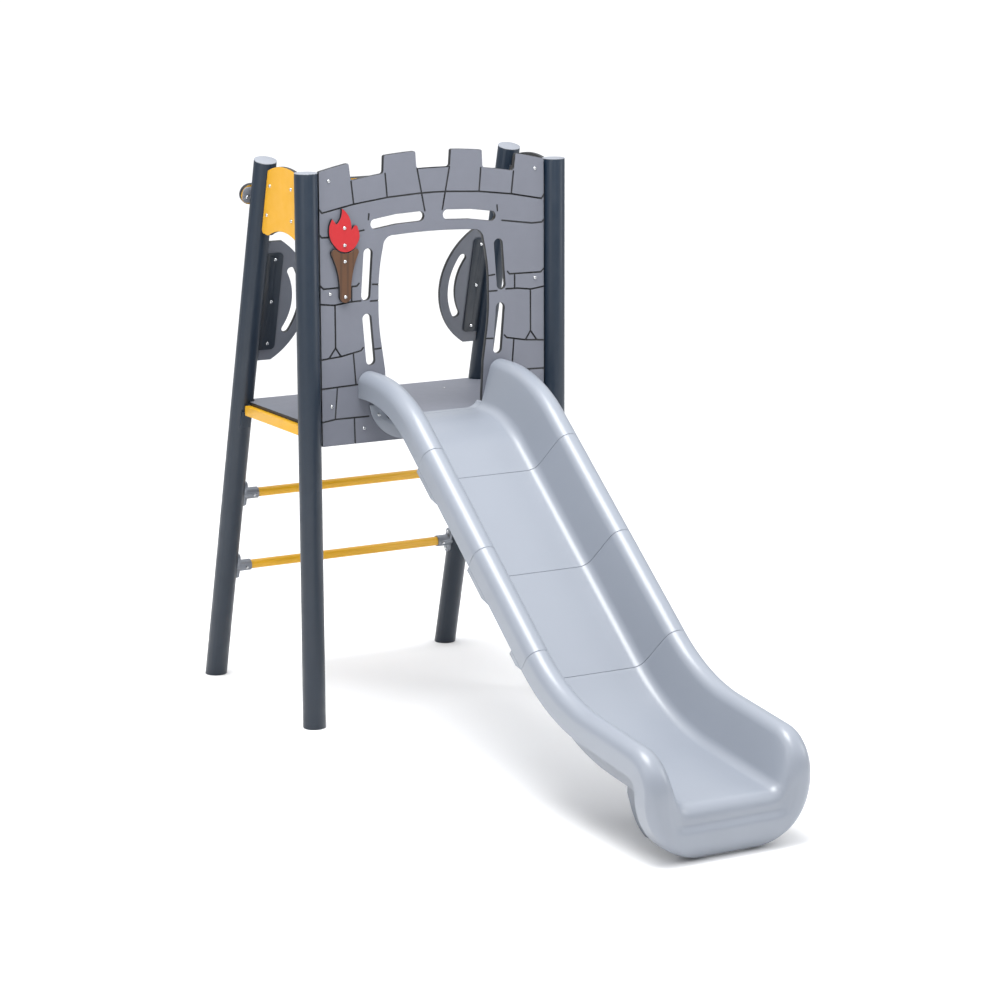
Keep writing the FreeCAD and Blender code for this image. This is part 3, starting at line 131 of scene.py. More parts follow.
class PlaySlideSizes(bpy.types.PropertyGroup):
    """Sizes of the trough, its nose, the sheets' edges and the fasteners."""
    bed_half: length_property("Bed half width", "Half of the flat sliding surface", 162.0)
    bed_fillet: length_property("Bed fillet", "Radius between the bed and a side wall", 48.0)
    rail_radius: length_property("Rail radius", "Radius of the rolled rail", 47.0)
    rail_top: length_property("Rail height", "Height of a rail's crown over the bed", 190.0)
    rail_edge: length_property("Rail edge height", "Height of a rail's lower edge over the bed", 88.0)
    wall: length_property("Moulding thickness", "Thickness of the moulded trough", 8.0)
    crest_radius: length_property("Crest radius", "Bend where the slide leaves the deck", 450.0)
    toe_radius: length_property("Toe radius", "Bend where the slide levels out", 930.0)
    first_run: length_property("First run", "Straight length of the top section", 128.0)
    section: length_property("Section length", "Length of a middle section", 492.0)
    lip_radius: length_property("Lip radius", "Rounding of the bed's front end", 52.0)
    nose_radius: length_property("Nose radius", "Rounding of the rails' front ends, side view", 157.0)
    nose_corner: length_property("Nose corner radius", "Rounding of the nose at the ground, front view", 235.0)
    lip_recess: length_property("Lip recess", "How far the front under the lip stands back", 15.0)
    seam: length_property("Seam", "Gap between two sections", 0.6)
    seam_round: length_property("Seam rounding", "Rounding of a section's ends", 2.0)
    sheet_edge: length_property("Sheet edge", "Rounding of a routed sheet's edges", 1.5)
    metal_edge: length_property("Metal edge", "Rounding of the brackets' edges", 0.7)
    cap_edge: length_property("Cap edge", "Rounding of the post caps", 1.6)
    head_diameter: length_property("Bolt head diameter", "Width of a button head", 14.0)
    head_height: length_property("Bolt head height", "Height of a button head", 4.5)
    shank_diameter: length_property("Bolt shank diameter", "Width of a bolt's shank", 8.0)
    key_width: length_property("Key width", "Width of the hexagon socket in a head", 5.0)
    nut_width: length_property("Nut width", "Distance across a nut's flats", 13.0)
    nut_height: length_property("Nut height", "Height of a nut", 6.5)
    slope: bpy.props.FloatProperty(
        name="Slope", description="Angle of the straight part", default=math.radians(37.4), unit="ROTATION",
    )
    run_out: bpy.props.FloatProperty(
        name="Run-out angle", description="Angle of the last run", default=math.radians(6.0), unit="ROTATION",
    )
    wall_lean: bpy.props.FloatProperty(
        name="Wall lean", description="Lean of a side wall from upright",
        default=math.radians(15.8), unit="ROTATION",
    )


class PlaySlideColours(bpy.types.PropertyGroup):
    """Colours of the tower's finishes."""
    post: colour_property("Posts", "Powder coat of the posts", "#122130")
    cap: colour_property("Caps", "Moulded post caps", "#7F838B")
    stone: colour_property("Grey sheet", "Skin of the castle panel and deck", "#6A6D77")
    core: colour_property("Sheet core", "Black core of every sheet", "#17191C")
    grip: colour_property("Grip sheet", "Skin of the hand grips", "#656972")
    yellow: colour_property("Yellow sheet", "Skin of the side panels and header", "#DAA11B")
    flame: colour_property("Flame", "Skin of the flame", "#B0101A")
    torch: colour_property("Torch", "Skin of the torch's handle", "#54341A")
    tube: colour_property("Yellow tube", "Powder coat of rungs and deck beams", "#DDA61B")
    plate: colour_property("Black plate", "Powder coat of the grip plates", "#1B2530")
    slide: colour_property("Slide", "Moulded slide", "#838993")


SETTINGS = (PlaySlideSizes, PlaySlideColours)


def sizes():
    return bpy.context.scene.play_slide_sizes


def colours():
    return bpy.context.scene.play_slide_colours


# ---------------------------------------------------------------- materials
def add(tree, kind, links=(), **settings):
    """Adds a node, sets its named properties and fills its input sockets."""
    node = tree.nodes.new(kind)
    for key, value in settings.items():
        setattr(node, key, value)
    for socket, value in dict(links).items():
        if isinstance(value, bpy.types.NodeSocket):
            tree.links.new(value, node.inputs[socket])
        else:
            node.inputs[socket].default_value = value
    return node


def rgba(colour):
    return (colour[0], colour[1], colour[2], 1.0)


def darker(colour, share):
    return (colour[0] * share, colour[1] * share, colour[2] * share, 1.0)


def opened(name):
    """A new material with its tree, its shader and the object's own coordinates."""
    material = bpy.data.materials.new(name)
    material.use_nodes = True
    tree = material.node_tree
    tree.nodes.clear()
    shader = add(tree, "ShaderNodeBsdfPrincipled")
    add(tree, "ShaderNodeOutputMaterial", {"Surface": shader.outputs["BSDF"]})
    place = add(tree, "ShaderNodeTexCoord").outputs["Object"]
    return material, tree, shader, place


def per_metre(size_mm):
    """Noise scale whose grain has about the given size."""
    return 1000.0 / size_mm


def grained(tree, shader, place, grain_mm, height_mm, strength):
    """Fine surface relief of the given grain and height."""
    noise = add(tree, "ShaderNodeTexNoise", {"Vector": place, "Scale": per_metre(grain_mm), "Detail": 3.0})
    bump = add(tree, "ShaderNodeBump", {
        "Height": noise.outputs["Fac"], "Strength": strength, "Distance": millimetres(height_mm),
    })
    tree.links.new(bump.outputs["Normal"], shader.inputs["Normal"])
    return noise


def mottled(tree, place, light, dark, patch_mm):
    """Two close shades in soft patches."""
    cloud = add(tree, "ShaderNodeTexNoise", {"Vector": place, "Scale": per_metre(patch_mm), "Detail": 2.0})
    mix = add(tree, "ShaderNodeMix", {0: cloud.outputs["Fac"], 6: light, 7: dark}, data_type="RGBA")
    return mix.outputs[2]


def rough_patches(tree, shader, place, low, high, patch_mm):
    """Roughness that wanders between two values."""
    cloud = add(tree, "ShaderNodeTexNoise", {"Vector": place, "Scale": per_metre(patch_mm), "Detail": 4.0})
    span = add(tree, "ShaderNodeMapRange", {
        "Value": cloud.outputs["Fac"], "From Min": 0.3, "From Max": 0.7, "To Min": low, "To Max": high,
    })
    tree.links.new(span.outputs["Result"], shader.inputs["Roughness"])


def powder_coat(name, colour, low, high):
    """Polyester powder coat on steel: satin, with a faint orange peel.

    The real peel is about 1 mm; it is drawn at 4 mm, the finest that shows.
    """
    material, tree, shader, place = opened(name)
    grained(tree, shader, place, 4.0, 0.12, 0.25)
    rough_patches(tree, shader, place, low, high, 60.0)
    shade = mottled(tree, place, rgba(colour), darker(colour, 0.86), 140.0)
    tree.links.new(shade, shader.inputs["Base Color"])
    shader.inputs["IOR"].default_value = 1.5
    return material


def sheet_plastic(name, skin, core, normal, planes, mirrored=False, wood=False, texture=0.3):
    """Routed two-colour polyethylene sheet: a coloured skin on each face over a black core.

    The skin is textured at about 1 mm, drawn at 3 mm so that it shows. The skin is read
    from how far a point lies along the sheet's normal; planes are its two faces, and a
    face left out stays black.
    """
    material, tree, shader, place = opened(name)
    dot = add(tree, "ShaderNodeVectorMath", {0: place, 1: tuple(normal)}, operation="DOT_PRODUCT")
    along = dot.outputs["Value"]
    if mirrored:
        along = add(tree, "ShaderNodeMath", {0: along}, operation="ABSOLUTE").outputs[0]
    skin_depth = millimetres(0.25)
    mask = None
    for plane in planes:
        gap = add(tree, "ShaderNodeMath", {0: along, 1: plane}, operation="SUBTRACT").outputs[0]
        size = add(tree, "ShaderNodeMath", {0: gap}, operation="ABSOLUTE").outputs[0]
        near = add(tree, "ShaderNodeMath", {0: size, 1: skin_depth}, operation="LESS_THAN").outputs[0]
        if mask is not None:
            near = add(tree, "ShaderNodeMath", {0: mask, 1: near}, operation="MAXIMUM").outputs[0]
        mask = near
    face = mottled(tree, place, rgba(skin), darker(skin, 0.9), 90.0)
    if wood:
        face = grain_lines(tree, place, face, darker(skin, 0.45))
    mix = add(tree, "ShaderNodeMix", {0: mask, 6: rgba(core), 7: face}, data_type="RGBA")
    tree.links.new(mix.outputs[2], shader.inputs["Base Color"])
    grained(tree, shader, place, 3.0, 0.1, texture)
    spread = 0.07 * texture / 0.3
    rough_patches(tree, shader, place, 0.49 - spread, 0.49 + spread, 45.0)
    shader.inputs["IOR"].default_value = 1.51
    return material


def grain_lines(tree, place, light, dark):
    """Long dark grain lines printed down the torch's handle, about 14 mm apart."""
    stretched = add(tree, "ShaderNodeMapping", {"Vector": place, "Scale": (1.0, 1.0, 0.12)}).outputs["Vector"]
    wave = add(tree, "ShaderNodeTexWave", {
        "Vector": stretched, "Scale": 1000.0 / 14.0 / 6.2,
        "Distortion": 5.0, "Detail": 2.0, "Detail Scale": 1.5,
    }, bands_direction="X")
    thin = add(tree, "ShaderNodeMapRange", {
        "Value": wave.outputs["Fac"], "From Min": 0.0, "From Max": 0.3, "To Min": 0.7, "To Max": 0.0,
    })
    mix = add(tree, "ShaderNodeMix", {0: thin.outputs["Result"], 6: light, 7: dark}, data_type="RGBA")
    return mix.outputs[2]


def slide_gelcoat(name, colour):
    """Moulded glass-fibre slide with a gelcoat: smooth and softly glossy.

    A waviness of about 90 mm and a peel drawn at 6 mm break up the highlights. Faint
    rub marks about 3 mm wide run down the bed.
    """
    material, tree, shader, place = opened(name)
    shade = mottled(tree, place, rgba(colour), darker(colour, 0.95), 220.0)
    tree.links.new(shade, shader.inputs["Base Color"])
    peel = add(tree, "ShaderNodeTexNoise", {"Vector": place, "Scale": per_metre(6.0), "Detail": 2.0})
    wavy = add(tree, "ShaderNodeTexNoise", {"Vector": place, "Scale": per_metre(90.0), "Detail": 1.0})
    fine = add(tree, "ShaderNodeBump", {
        "Height": peel.outputs["Fac"], "Strength": 0.12, "Distance": millimetres(0.1),
    })
    slow = add(tree, "ShaderNodeBump", {
        "Height": wavy.outputs["Fac"], "Normal": fine.outputs["Normal"],
        "Strength": 0.2, "Distance": millimetres(0.8),
    })
    tree.links.new(slow.outputs["Normal"], shader.inputs["Normal"])
    down = add(tree, "ShaderNodeMapping", {"Vector": place, "Scale": (1.0, 0.02, 0.02)}).outputs["Vector"]
    rubs = add(tree, "ShaderNodeTexNoise", {"Vector": down, "Scale": per_metre(3.0), "Detail": 3.0})
    span = add(tree, "ShaderNodeMapRange", {
        "Value": rubs.outputs["Fac"], "From Min": 0.35, "From Max": 0.7, "To Min": 0.39, "To Max": 0.42,
    })
    tree.links.new(span.outputs["Result"], shader.inputs["Roughness"])
    shader.inputs["IOR"].default_value = 1.52
    shader.inputs["Coat Weight"].default_value = 0.4
    shader.inputs["Coat Roughness"].default_value = 0.26
    return material


def cast_metal(name, hex_colour, low, high, grain_mm):
    """Cast or galvanised metal: bright but dulled, with a sandy grain drawn coarse enough to show."""
    material, tree, shader, place = opened(name)
    colour = linear(hex_colour)
    shade = mottled(tree, place, rgba(colour), darker(colour, 0.8), 25.0)
    tree.links.new(shade, shader.inputs["Base Color"])
    grained(tree, shader, place, grain_mm, 0.15, 0.35)
    rough_patches(tree, shader, place, low, high, 18.0)
    shader.inputs["Metallic"].default_value = 1.0
    return material


def moulded_cap(name, colour):
    """Injection-moulded polypropylene cap: matt, with a spark-eroded grain of about 2 mm."""
    material, tree, shader, place = opened(name)
    shade = mottled(tree, place, rgba(colour), darker(colour, 0.92), 40.0)
    tree.links.new(shade, shader.inputs["Base Color"])
    grained(tree, shader, place, 2.0, 0.1, 0.35)
    rough_patches(tree, shader, place, 0.5, 0.62, 30.0)
    shader.inputs["IOR"].default_value = 1.49
    return material


def floor_paint(name):
    """Matt white studio floor with a barely seen roller texture of 8 mm."""
    material, tree, shader, place = opened(name)
    shade = mottled(tree, place, (0.9, 0.9, 0.9, 1.0), (0.88, 0.88, 0.88, 1.0), 900.0)
    tree.links.new(shade, shader.inputs["Base Color"])
    grained(tree, shader, place, 8.0, 0.2, 0.1)
    shader.inputs["Roughness"].default_value = 0.95
    return material


def finish(name):
    """The tower's finishes by name, each made once."""
    found = bpy.data.materials.get(name)
    if found:
        return found
    c = colours()
    deck_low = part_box("deck")[0].z
    side_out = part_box("side_panel_right")[1].x
    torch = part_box("torch_flame")
    grip_middle = plane_of("hand_grip_left", LEAN_NORMAL)
    header_middle = plane_of("rear_header", LEAN_NORMAL)
    makers = {
        "satin_powder_coat_slate": lambda: powder_coat(name, c.post, 0.34, 0.46),
        "satin_powder_coat_yellow": lambda: powder_coat(name, c.tube, 0.3, 0.42),
        "satin_powder_coat_black": lambda: powder_coat(name, c.plate, 0.36, 0.48),
        "moulded_cap_grey": lambda: moulded_cap(name, c.cap),
        "sheet_polyethylene_stone": lambda: sheet_plastic(
            name, c.stone, c.core, (0.0, 1.0, 0.0), (PANEL_FRONT, PANEL_BACK)),
        "sheet_polyethylene_deck": lambda: sheet_plastic(
            name, c.stone, c.core, (0.0, 0.0, 1.0), (deck_low, DECK_TOP), texture=0.05),
        "sheet_polyethylene_yellow": lambda: sheet_plastic(
            name, c.yellow, c.core, (1.0, 0.0, 0.0), (side_out,), mirrored=True),
        "sheet_polyethylene_header": lambda: sheet_plastic(
            name, c.yellow, c.core, LEAN_NORMAL, header_middle),
        "sheet_polyethylene_grip": lambda: sheet_plastic(
            name, c.grip, c.core, LEAN_NORMAL, grip_middle),
        "sheet_polyethylene_red": lambda: sheet_plastic(
            name, c.flame, c.core, (0.0, 1.0, 0.0), (torch[0].y, torch[1].y)),
        "sheet_polyethylene_wood": lambda: sheet_plastic(
            name, c.torch, c.core, (0.0, 1.0, 0.0), (torch[0].y, torch[1].y), wood=True),
        "moulded_gelcoat_grey": lambda: slide_gelcoat(name, c.slide),
        "cast_aluminium_grey": lambda: cast_metal(name, "#8D9198", 0.42, 0.56, 2.5),
        "galvanised_steel": lambda: cast_metal(name, "#A2A6AB", 0.34, 0.5, 4.0),
        "stainless_steel": lambda: cast_metal(name, "#D9DBDD", 0.18, 0.28, 1.5),
        "matt_floor_paint": lambda: floor_paint(name),
    }
    return makers[name]()


def plane_of(node, normal):
    """The two faces of a flat sheet, as distances along its normal."""
    far = [v.co.dot(normal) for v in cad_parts[node].data.vertices]
    return min(far), max(far)


# ---------------------------------------------------------------- pieces
def dressed(obj, material, nodes):
    """Gives a finished piece its material and its place on the frame, and hides the nodes that it stands for.
    """
    obj.data.materials.clear()
    obj.data.materials.append(finish(material))
    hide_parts(*nodes)
    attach(obj, BODY)
    return obj


def shown(name, mesh):
    obj = bpy.data.objects.new(name, mesh)
    bpy.context.scene.collection.objects.link(obj)
    return obj


def settled(obj):
    """Turns an object's modifiers into one plain mesh."""
    bpy.context.view_layer.update()
    graph = bpy.context.evaluated_depsgraph_get()
    mesh = bpy.data.meshes.new_from_object(obj.evaluated_get(graph))
    if not mesh.polygons:
        raise RuntimeError("no faces came out of " + obj.name)
    rough = obj.data
    obj.modifiers.clear()
    obj.data = mesh
    mesh.name = obj.name
    bpy.data.meshes.remove(rough)
    return obj


def edge_rounded(obj, width, segments=2, angle=32.0):
    """Rounds the sharp edges and keeps the flats flat."""
    for face in obj.data.polygons:
        face.use_smooth = True
    bevel = obj.modifiers.new("edges", "BEVEL")
    bevel.width = width
    bevel.segments = segments
    bevel.limit_method = "ANGLE"
    bevel.angle_limit = math.radians(angle)
    bevel.use_clamp_overlap = False
    bevel.harden_normals = True
    return obj


def mesh_from(work, name):
    """Turns a worked mesh into a named one and frees the work."""
    mesh = bpy.data.meshes.new(name)
    work.to_mesh(mesh)
    work.free()
    return mesh


def bridged(work, rings):
    """Faces between rings that have as many points as each other."""
    faces = []
    for low, high in zip(rings[:-1], rings[1:]):
        for i in range(len(low)):
            j = (i + 1) % len(low)
            faces.append(work.faces.new((low[i], low[j], high[j], high[i])))
    return faces


def merged_copy(node):
    """A node's mesh with its loose triangles joined and its flats whole."""
    work = bmesh.new()
    work.from_mesh(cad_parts[node].data)
    bmesh.ops.remove_doubles(work, verts=work.verts, dist=millimetres(0.004))
    bmesh.ops.dissolve_limit(work, angle_limit=math.radians(0.3), verts=work.verts, edges=work.edges)
    return work


def flattened(obj, normal):
    """Gives every face of a sheet that lies across its normal exactly that normal."""
    mesh = obj.data
    shading = [tuple(n.vector) for n in mesh.corner_normals]
    for face in mesh.polygons:
        lean = face.normal.dot(normal)
        if abs(lean) > 0.9995:
            for corner in face.loop_indices:
                shading[corner] = tuple(normal * math.copysign(1.0, lean))
    mesh.normals_split_custom_set(shading)


def softened(node, width, material, sheet=None):
    """A node with rounded edges and smooth curves; a sheet keeps its flats flat."""
    obj = shown(node + "_finished", mesh_from(merged_copy(node), node + "_rough"))
    edge_rounded(obj, width)
    settled(obj)
    if sheet:
        flattened(obj, Vector(sheet))
    return dressed(obj, material, [node])


# ---------------------------------------------------------------- trough
def arc_points(centre, radius, start, end, count):
    """Points on an arc about a centre, angles from the first axis towards the second."""
    out = []
    for i in range(count + 1):
        a = start + (end - start) * i / count
        out.append((centre[0] + radius * math.cos(a), centre[1] + radius * math.sin(a)))
    return out


def trough_half():
    """Right half of the trough's top skin, from the bed's middle to the rail's lower edge."""
    s = sizes()
    lean_c, lean_s = math.cos(s.wall_lean), math.sin(s.wall_lean)
    rail_n = s.rail_top - s.rail_radius
    run = (rail_n - s.bed_fillet * (1 - lean_s) + s.rail_radius * lean_s) / lean_c
    rail_x = s.bed_half + (s.bed_fillet + s.rail_radius) * lean_c + run * lean_s
    fillet = arc_points((s.bed_half, s.bed_fillet), s.bed_fillet, -math.pi / 2, -s.wall_lean, 9)
    rail = arc_points((rail_x, rail_n), s.rail_radius, math.pi - s.wall_lean, 0.0, 20)
    wall = [tuple(Vector(fillet[-1]).lerp(Vector(rail[0]), i / 4)) for i in (1, 2, 3)]
    side = [(rail_x + s.rail_radius, rail_n + (s.rail_edge - rail_n) * i / 3) for i in (1, 2, 3)]
    bed = [(s.bed_half * i / 5, 0.0) for i in range(5)]
    return bed + fillet + wall + rail + side


def trough_line():
    """The whole top skin from the left rail's edge to the right one."""
    half = trough_half()
    return [(-x, n) for x, n in reversed(half[1:])] + half


def crest_end():
    s = sizes()
    y = FLAT_START - s.crest_radius * math.sin(s.slope)
    return y, DECK_TOP - s.crest_radius * (1 - math.cos(s.slope))


def slope_point(run):
    s = sizes()
    y, z = crest_end()
    return y - run * math.cos(s.slope), z - run * math.sin(s.slope)


def toe_point(angle):
    s = sizes()
    y, z = slope_point(s.first_run + 2 * s.section)
    y -= s.toe_radius * (math.sin(s.slope) - math.sin(angle))
    return y, z - s.toe_radius * (math.cos(angle) - math.cos(s.slope))


def bed_height(y):
    s = sizes()
    end = toe_point(s.run_out)
    return end[1] + (y - end[0]) * math.tan(s.run_out)


def polyline_object(name, points):
    """A hidden helper line of points."""
    mesh = bpy.data.meshes.new(name)
    mesh.from_pydata(points, [(i, i + 1) for i in range(len(points) - 1)], [])
    return shown(name, mesh)


def group_sockets(tree, inputs):
    """Named inputs and the one geometry output of a tree; gives back their identifiers."""
    tree.interface.new_socket("Geometry", in_out="OUTPUT", socket_type="NodeSocketGeometry")
    ids = {}
    for label, kind in inputs:
        ids[label] = tree.interface.new_socket(label, in_out="INPUT", socket_type=kind).identifier
    return ids


def trough_tree():
    """Sweeps the trough's section along its line of travel."""
    tree = bpy.data.node_groups.new("trough_sweep", "GeometryNodeTree")
    ids = group_sockets(tree, (
        ("Travel", "NodeSocketGeometry"), ("Section", "NodeSocketObject"), ("Gelcoat", "NodeSocketMaterial"),
    ))
    given = add(tree, "NodeGroupInput")
    travel = add(tree, "GeometryNodeMeshToCurve", {"Mesh": given.outputs["Travel"]})
    upright = add(tree, "GeometryNodeSetCurveNormal", {"Curve": travel.outputs["Curve"]}, mode="Z_UP")
    section = add(tree, "GeometryNodeObjectInfo", {"Object": given.outputs["Section"]})
    outline = add(tree, "GeometryNodeMeshToCurve", {"Mesh": section.outputs["Geometry"]})
    skin = add(tree, "GeometryNodeCurveToMesh", {
        "Curve": upright.outputs["Curve"], "Profile Curve": outline.outputs["Curve"],
    })
    real = add(tree, "GeometryNodeRealizeInstances", {"Geometry": skin.outputs["Mesh"]})
    painted = add(tree, "GeometryNodeSetMaterial", {
        "Geometry": real.outputs["Geometry"], "Material": given.outputs["Gelcoat"],
    })
    add(tree, "NodeGroupOutput", {"Geometry": painted.outputs["Geometry"]})
    return tree, ids


def faces_outward(mesh, away):
    """Turns a skin so that its faces look along the given direction on the whole."""
    total = Vector((0.0, 0.0, 0.0))
    for face in mesh.polygons:
        total += face.normal * face.area
    if total.dot(away) < 0:
        mesh.flip_normals()


def moulded(obj, ends=True):
    """Gives a top skin its thickness and, where asked, rounded ends."""
    s = sizes()
    for face in obj.data.polygons:
        face.use_smooth = True
    wall = obj.modifiers.new("wall", "SOLIDIFY")
    wall.thickness = s.wall
    wall.offset = -1.0
    if not ends:
        settled(obj)
        obj.data.set_sharp_from_angle(angle=math.radians(60.0))
        return obj
    bevel = obj.modifiers.new("ends", "BEVEL")
    bevel.width = s.seam_round
    bevel.segments = 3
    bevel.limit_method = "ANGLE"
    bevel.angle_limit = math.radians(60.0)
    bevel.use_clamp_overlap = False
    bevel.harden_normals = True
    return settled(obj)


def swept_section(node, travel, section, tree, ids):
    """One section of the slide, its skin swept along its own stretch of the travel."""
    obj = polyline_object(node + "_finished", [(0.0, y, z) for y, z in travel])
    sweep = obj.modifiers.new("sweep", "NODES")
    sweep.node_group = tree
    sweep[ids["Section"]] = section
    sweep[ids["Gelcoat"]] = finish("moulded_gelcoat_grey")
    settled(obj)
    faces_outward(obj.data, Vector((0.0, -0.4, 1.0)))
    moulded(obj)
    return dressed(obj, "moulded_gelcoat_grey", [node])


def crest_points(count):
    s = sizes()
    points = []
    for i in range(count + 1):
        a = s.slope * i / count
        points.append((
            FLAT_START - s.crest_radius * math.sin(a), DECK_TOP - s.crest_radius * (1 - math.cos(a)),
        ))
    return points


def slope_points(start, end, count):
    return [slope_point(start + (end - start) * i / count) for i in range(count + 1)]


# ---------------------------------------------------------------- nose
def ease(value, low, high):
    """Smooth step from 0 at low to 1 at high."""
    t = min(1.0, max(0.0, (value - low) / (high - low)))
    return t * t * (3 - 2 * t)


class NosePath:
    """How one point of the trough's section travels over the nose and down to the ground."""

    def __init__(self, x, n, outer, front_x):
        s = sizes()
        self.x = x
        self.front_x = front_x
        self.n = n
        share = n / s.rail_top
        if outer:
            self.radius = s.nose_radius - (s.rail_top - n)
            self.back = s.nose_radius - self.radius
        else:
            self.radius = s.lip_radius + (s.nose_radius - s.lip_radius) * share
            self.back = s.lip_recess * (1 - ease(abs(x), *RECESS_ENDS))
        self.low_back = self.back if outer else 0.0
        self.centre_y = NOSE_FRONT + self.back + self.radius
        c = math.cos(s.run_out)
        self.centre_z = bed_height(self.centre_y) + (n - self.radius) / c
        self.skirt = s.rail_top - s.rail_edge

    def start(self):
        s = sizes()
        return (
            self.centre_y - self.radius * math.sin(s.run_out),
            self.centre_z + self.radius * math.cos(s.run_out),
        )

    def over(self, share):
        """A point on the rounding, from the run-out's angle to straight down."""
        s = sizes()
        a = s.run_out + (math.pi / 2 - s.run_out) * share
        z = self.centre_z + self.radius * math.cos(a)
        x = self.x + (self.front_x - self.x) * ease(share, 0.0, 0.8)
        x *= 1 + (self.narrow(z) - 1) * ease(share, 0.0, 1.0)
        return (x, self.centre_y - self.radius * math.sin(a), z)

    def down(self, level):
        """A point on the front; levels up to 1 lead to the height all points share, up to 2 to the ground."""
        top = self.centre_z
        if level <= 1.0:
            z = top + (LEVEL_START - top) * level
        else:
            z = NOSE_FLOOR + (LEVEL_START - NOSE_FLOOR) * (1 - math.sin((level - 1.0) * math.pi / 2))
        swell = ease(z, *SWELL_LEVELS)
        back = self.low_back + (self.back - self.low_back) * swell
        height = NOSE_FLOOR + CURL_HEIGHT
        tuck = 0.0
        if z < height:
            t = (height - z) / CURL_HEIGHT
            tuck = CURL_DEPTH * (1 - math.sqrt(max(0.0, 1 - t * t)))
        back += (self.skirt - back) / self.skirt * tuck
        return (self.front_x * self.narrow(z), NOSE_FRONT + back, z)

    def narrow(self, z):
        """How far the nose has drawn in at a height, by its rounded lower corners."""
        corner = sizes().nose_corner
        rise = z - NOSE_FLOOR
        if rise >= corner:
            return 1.0
        half = SLIDE_HALF - corner + math.sqrt(max(0.0, corner ** 2 - (corner - rise) ** 2))
        return half / SLIDE_HALF


def add_tongue(obj):
    """Adds the strip of bed that reaches back through the doorway to the deck."""
    upper = [(x, DECK_TOP + n) for x, n in trough_line() if abs(x) <= TONGUE_HALF]
    lower = [(x, z - sizes().wall) for x, z in reversed(upper)]
    work = bmesh.new()
    work.from_mesh(obj.data)
    front = [work.verts.new((x, PANEL_FRONT - SEAT, z)) for x, z in upper + lower]
    back = [work.verts.new((x, DECK_FRONT - SEAT, z)) for x, z in upper + lower]
    faces = [work.faces.new(front), work.faces.new(list(reversed(back)))]
    for i in range(len(front)):
        j = (i + 1) % len(front)
        faces.append(work.faces.new((front[i], back[i], back[j], front[j])))
    bmesh.ops.recalc_face_normals(work, faces=faces)
    for face in faces[2:]:
        face.smooth = True
    work.to_mesh(obj.data)
    work.free()


def add_runners(obj):
    """Adds the stiffening runners under the bed's two sides to the exit."""
    s = sizes()
    places = [(s.slope + (s.run_out - s.slope) * i / 20, 0.0) for i in range(21)]
    places.append((s.run_out, toe_point(s.run_out)[0] - RUNNER_END))
    work = bmesh.new()
    work.from_mesh(obj.data)
    for side in (-1.0, 1.0):
        rings = []
        for a, run in places:
            y, z = toe_point(a)
            y -= run
            z -= run * math.tan(s.run_out)
            rings.append([
                work.verts.new((side * x, y - n * math.sin(a), z + n * math.cos(a))) for x, n in RUNNER_OUTLINE
            ])
        faces = bridged(work, rings)
        faces.append(work.faces.new(list(reversed(rings[0]))))
        faces.append(work.faces.new(rings[-1]))
        bmesh.ops.recalc_face_normals(work, faces=faces)
    work.to_mesh(obj.data)
    work.free()


def drawn_in(line, depth):
    """A section's line moved a little way into the moulding."""
    out = []
    for i, point in enumerate(line):
        before, after = Vector(line[max(i - 1, 0)]), Vector(line[min(i + 1, len(line) - 1)])
        along = (after - before).normalized()
        out.append((point[0] + along.y * depth, point[1] - along.x * depth))
    return out


def spread_out(widths):
    """The same widths with every step outwards, for where the rolled rail lies flat on the front."""
    crown = widths.index(max(widths))
    out = list(widths)
    for k in range(1, len(out)):
        out[k] = max(out[k], out[k - 1] + LEAST_STEP) if k < crown else widths[k]
    for k in range(crown - 1, 0, -1):
        out[k] = min(out[k], out[k + 1])
    return out


def nose_skin():
    """The exit's whole top skin: levelling arc, last run, nose and front."""
    s = sizes()
    line = trough_line()
    crown = s.rail_top - 1e-6
    half = len(line) // 2
    rows = []
    start = s.slope - s.seam / 2 / s.toe_radius
    for step, sunk in ((0.0, 1.0), (0.13, 0.5), (0.5, 0.13)):
        a = start - s.seam_round * step / s.toe_radius
        y, z = toe_point(a)
        low = drawn_in(line, s.seam_round * sunk)
        rows.append([(x, y - n * math.sin(a), z + n * math.cos(a)) for x, n in low])
    for i in range(29):
        a = start - s.seam_round / s.toe_radius
        a += (s.run_out - a) * i / 28
        y, z = toe_point(a)
        rows.append([(x, y - n * math.sin(a), z + n * math.cos(a)) for x, n in line])
    top = max(range(half, len(line)), key=lambda k: line[k][1])
    front = spread_out([x for x, _ in line[half:]])
    front = [-x for x in reversed(front[1:])] + front
    paths = []
    for k, (x, n) in enumerate(line):
        outer = k >= top or k <= len(line) - 1 - top
        paths.append(NosePath(x, min(n, crown), outer, front[k]))
    first = rows[-1]
    for i in range(1, 11):
        row = []
        for point, path in zip(first, paths):
            y, z = path.start()
            t = i / 10
            row.append((point[0], point[1] + (y - point[1]) * t, point[2] + (z - point[2]) * t))
        rows.append(row)
    rows += [[path.over(i / 14) for path in paths] for i in range(1, 15)]
    rows += [[path.down(i / 10) for path in paths] for i in range(1, 11)]
    rows += [[path.down(1 + i / 24) for path in paths] for i in range(1, 25)]
    return rows


def skin_mesh(name, rows):
    """A mesh sheet through rows of points, its doubles joined."""
    work = bmesh.new()
    grid = [[work.verts.new(p) for p in row] for row in rows]
    for upper, lower in zip(grid[:-1], grid[1:]):
        for i in range(len(upper) - 1):
            work.faces.new((upper[i], upper[i + 1], lower[i + 1], lower[i]))
    bmesh.ops.remove_doubles(work, verts=work.verts, dist=millimetres(0.3))
    bmesh.ops.dissolve_degenerate(work, dist=millimetres(0.2), edges=work.edges)
    return mesh_from(work, name)


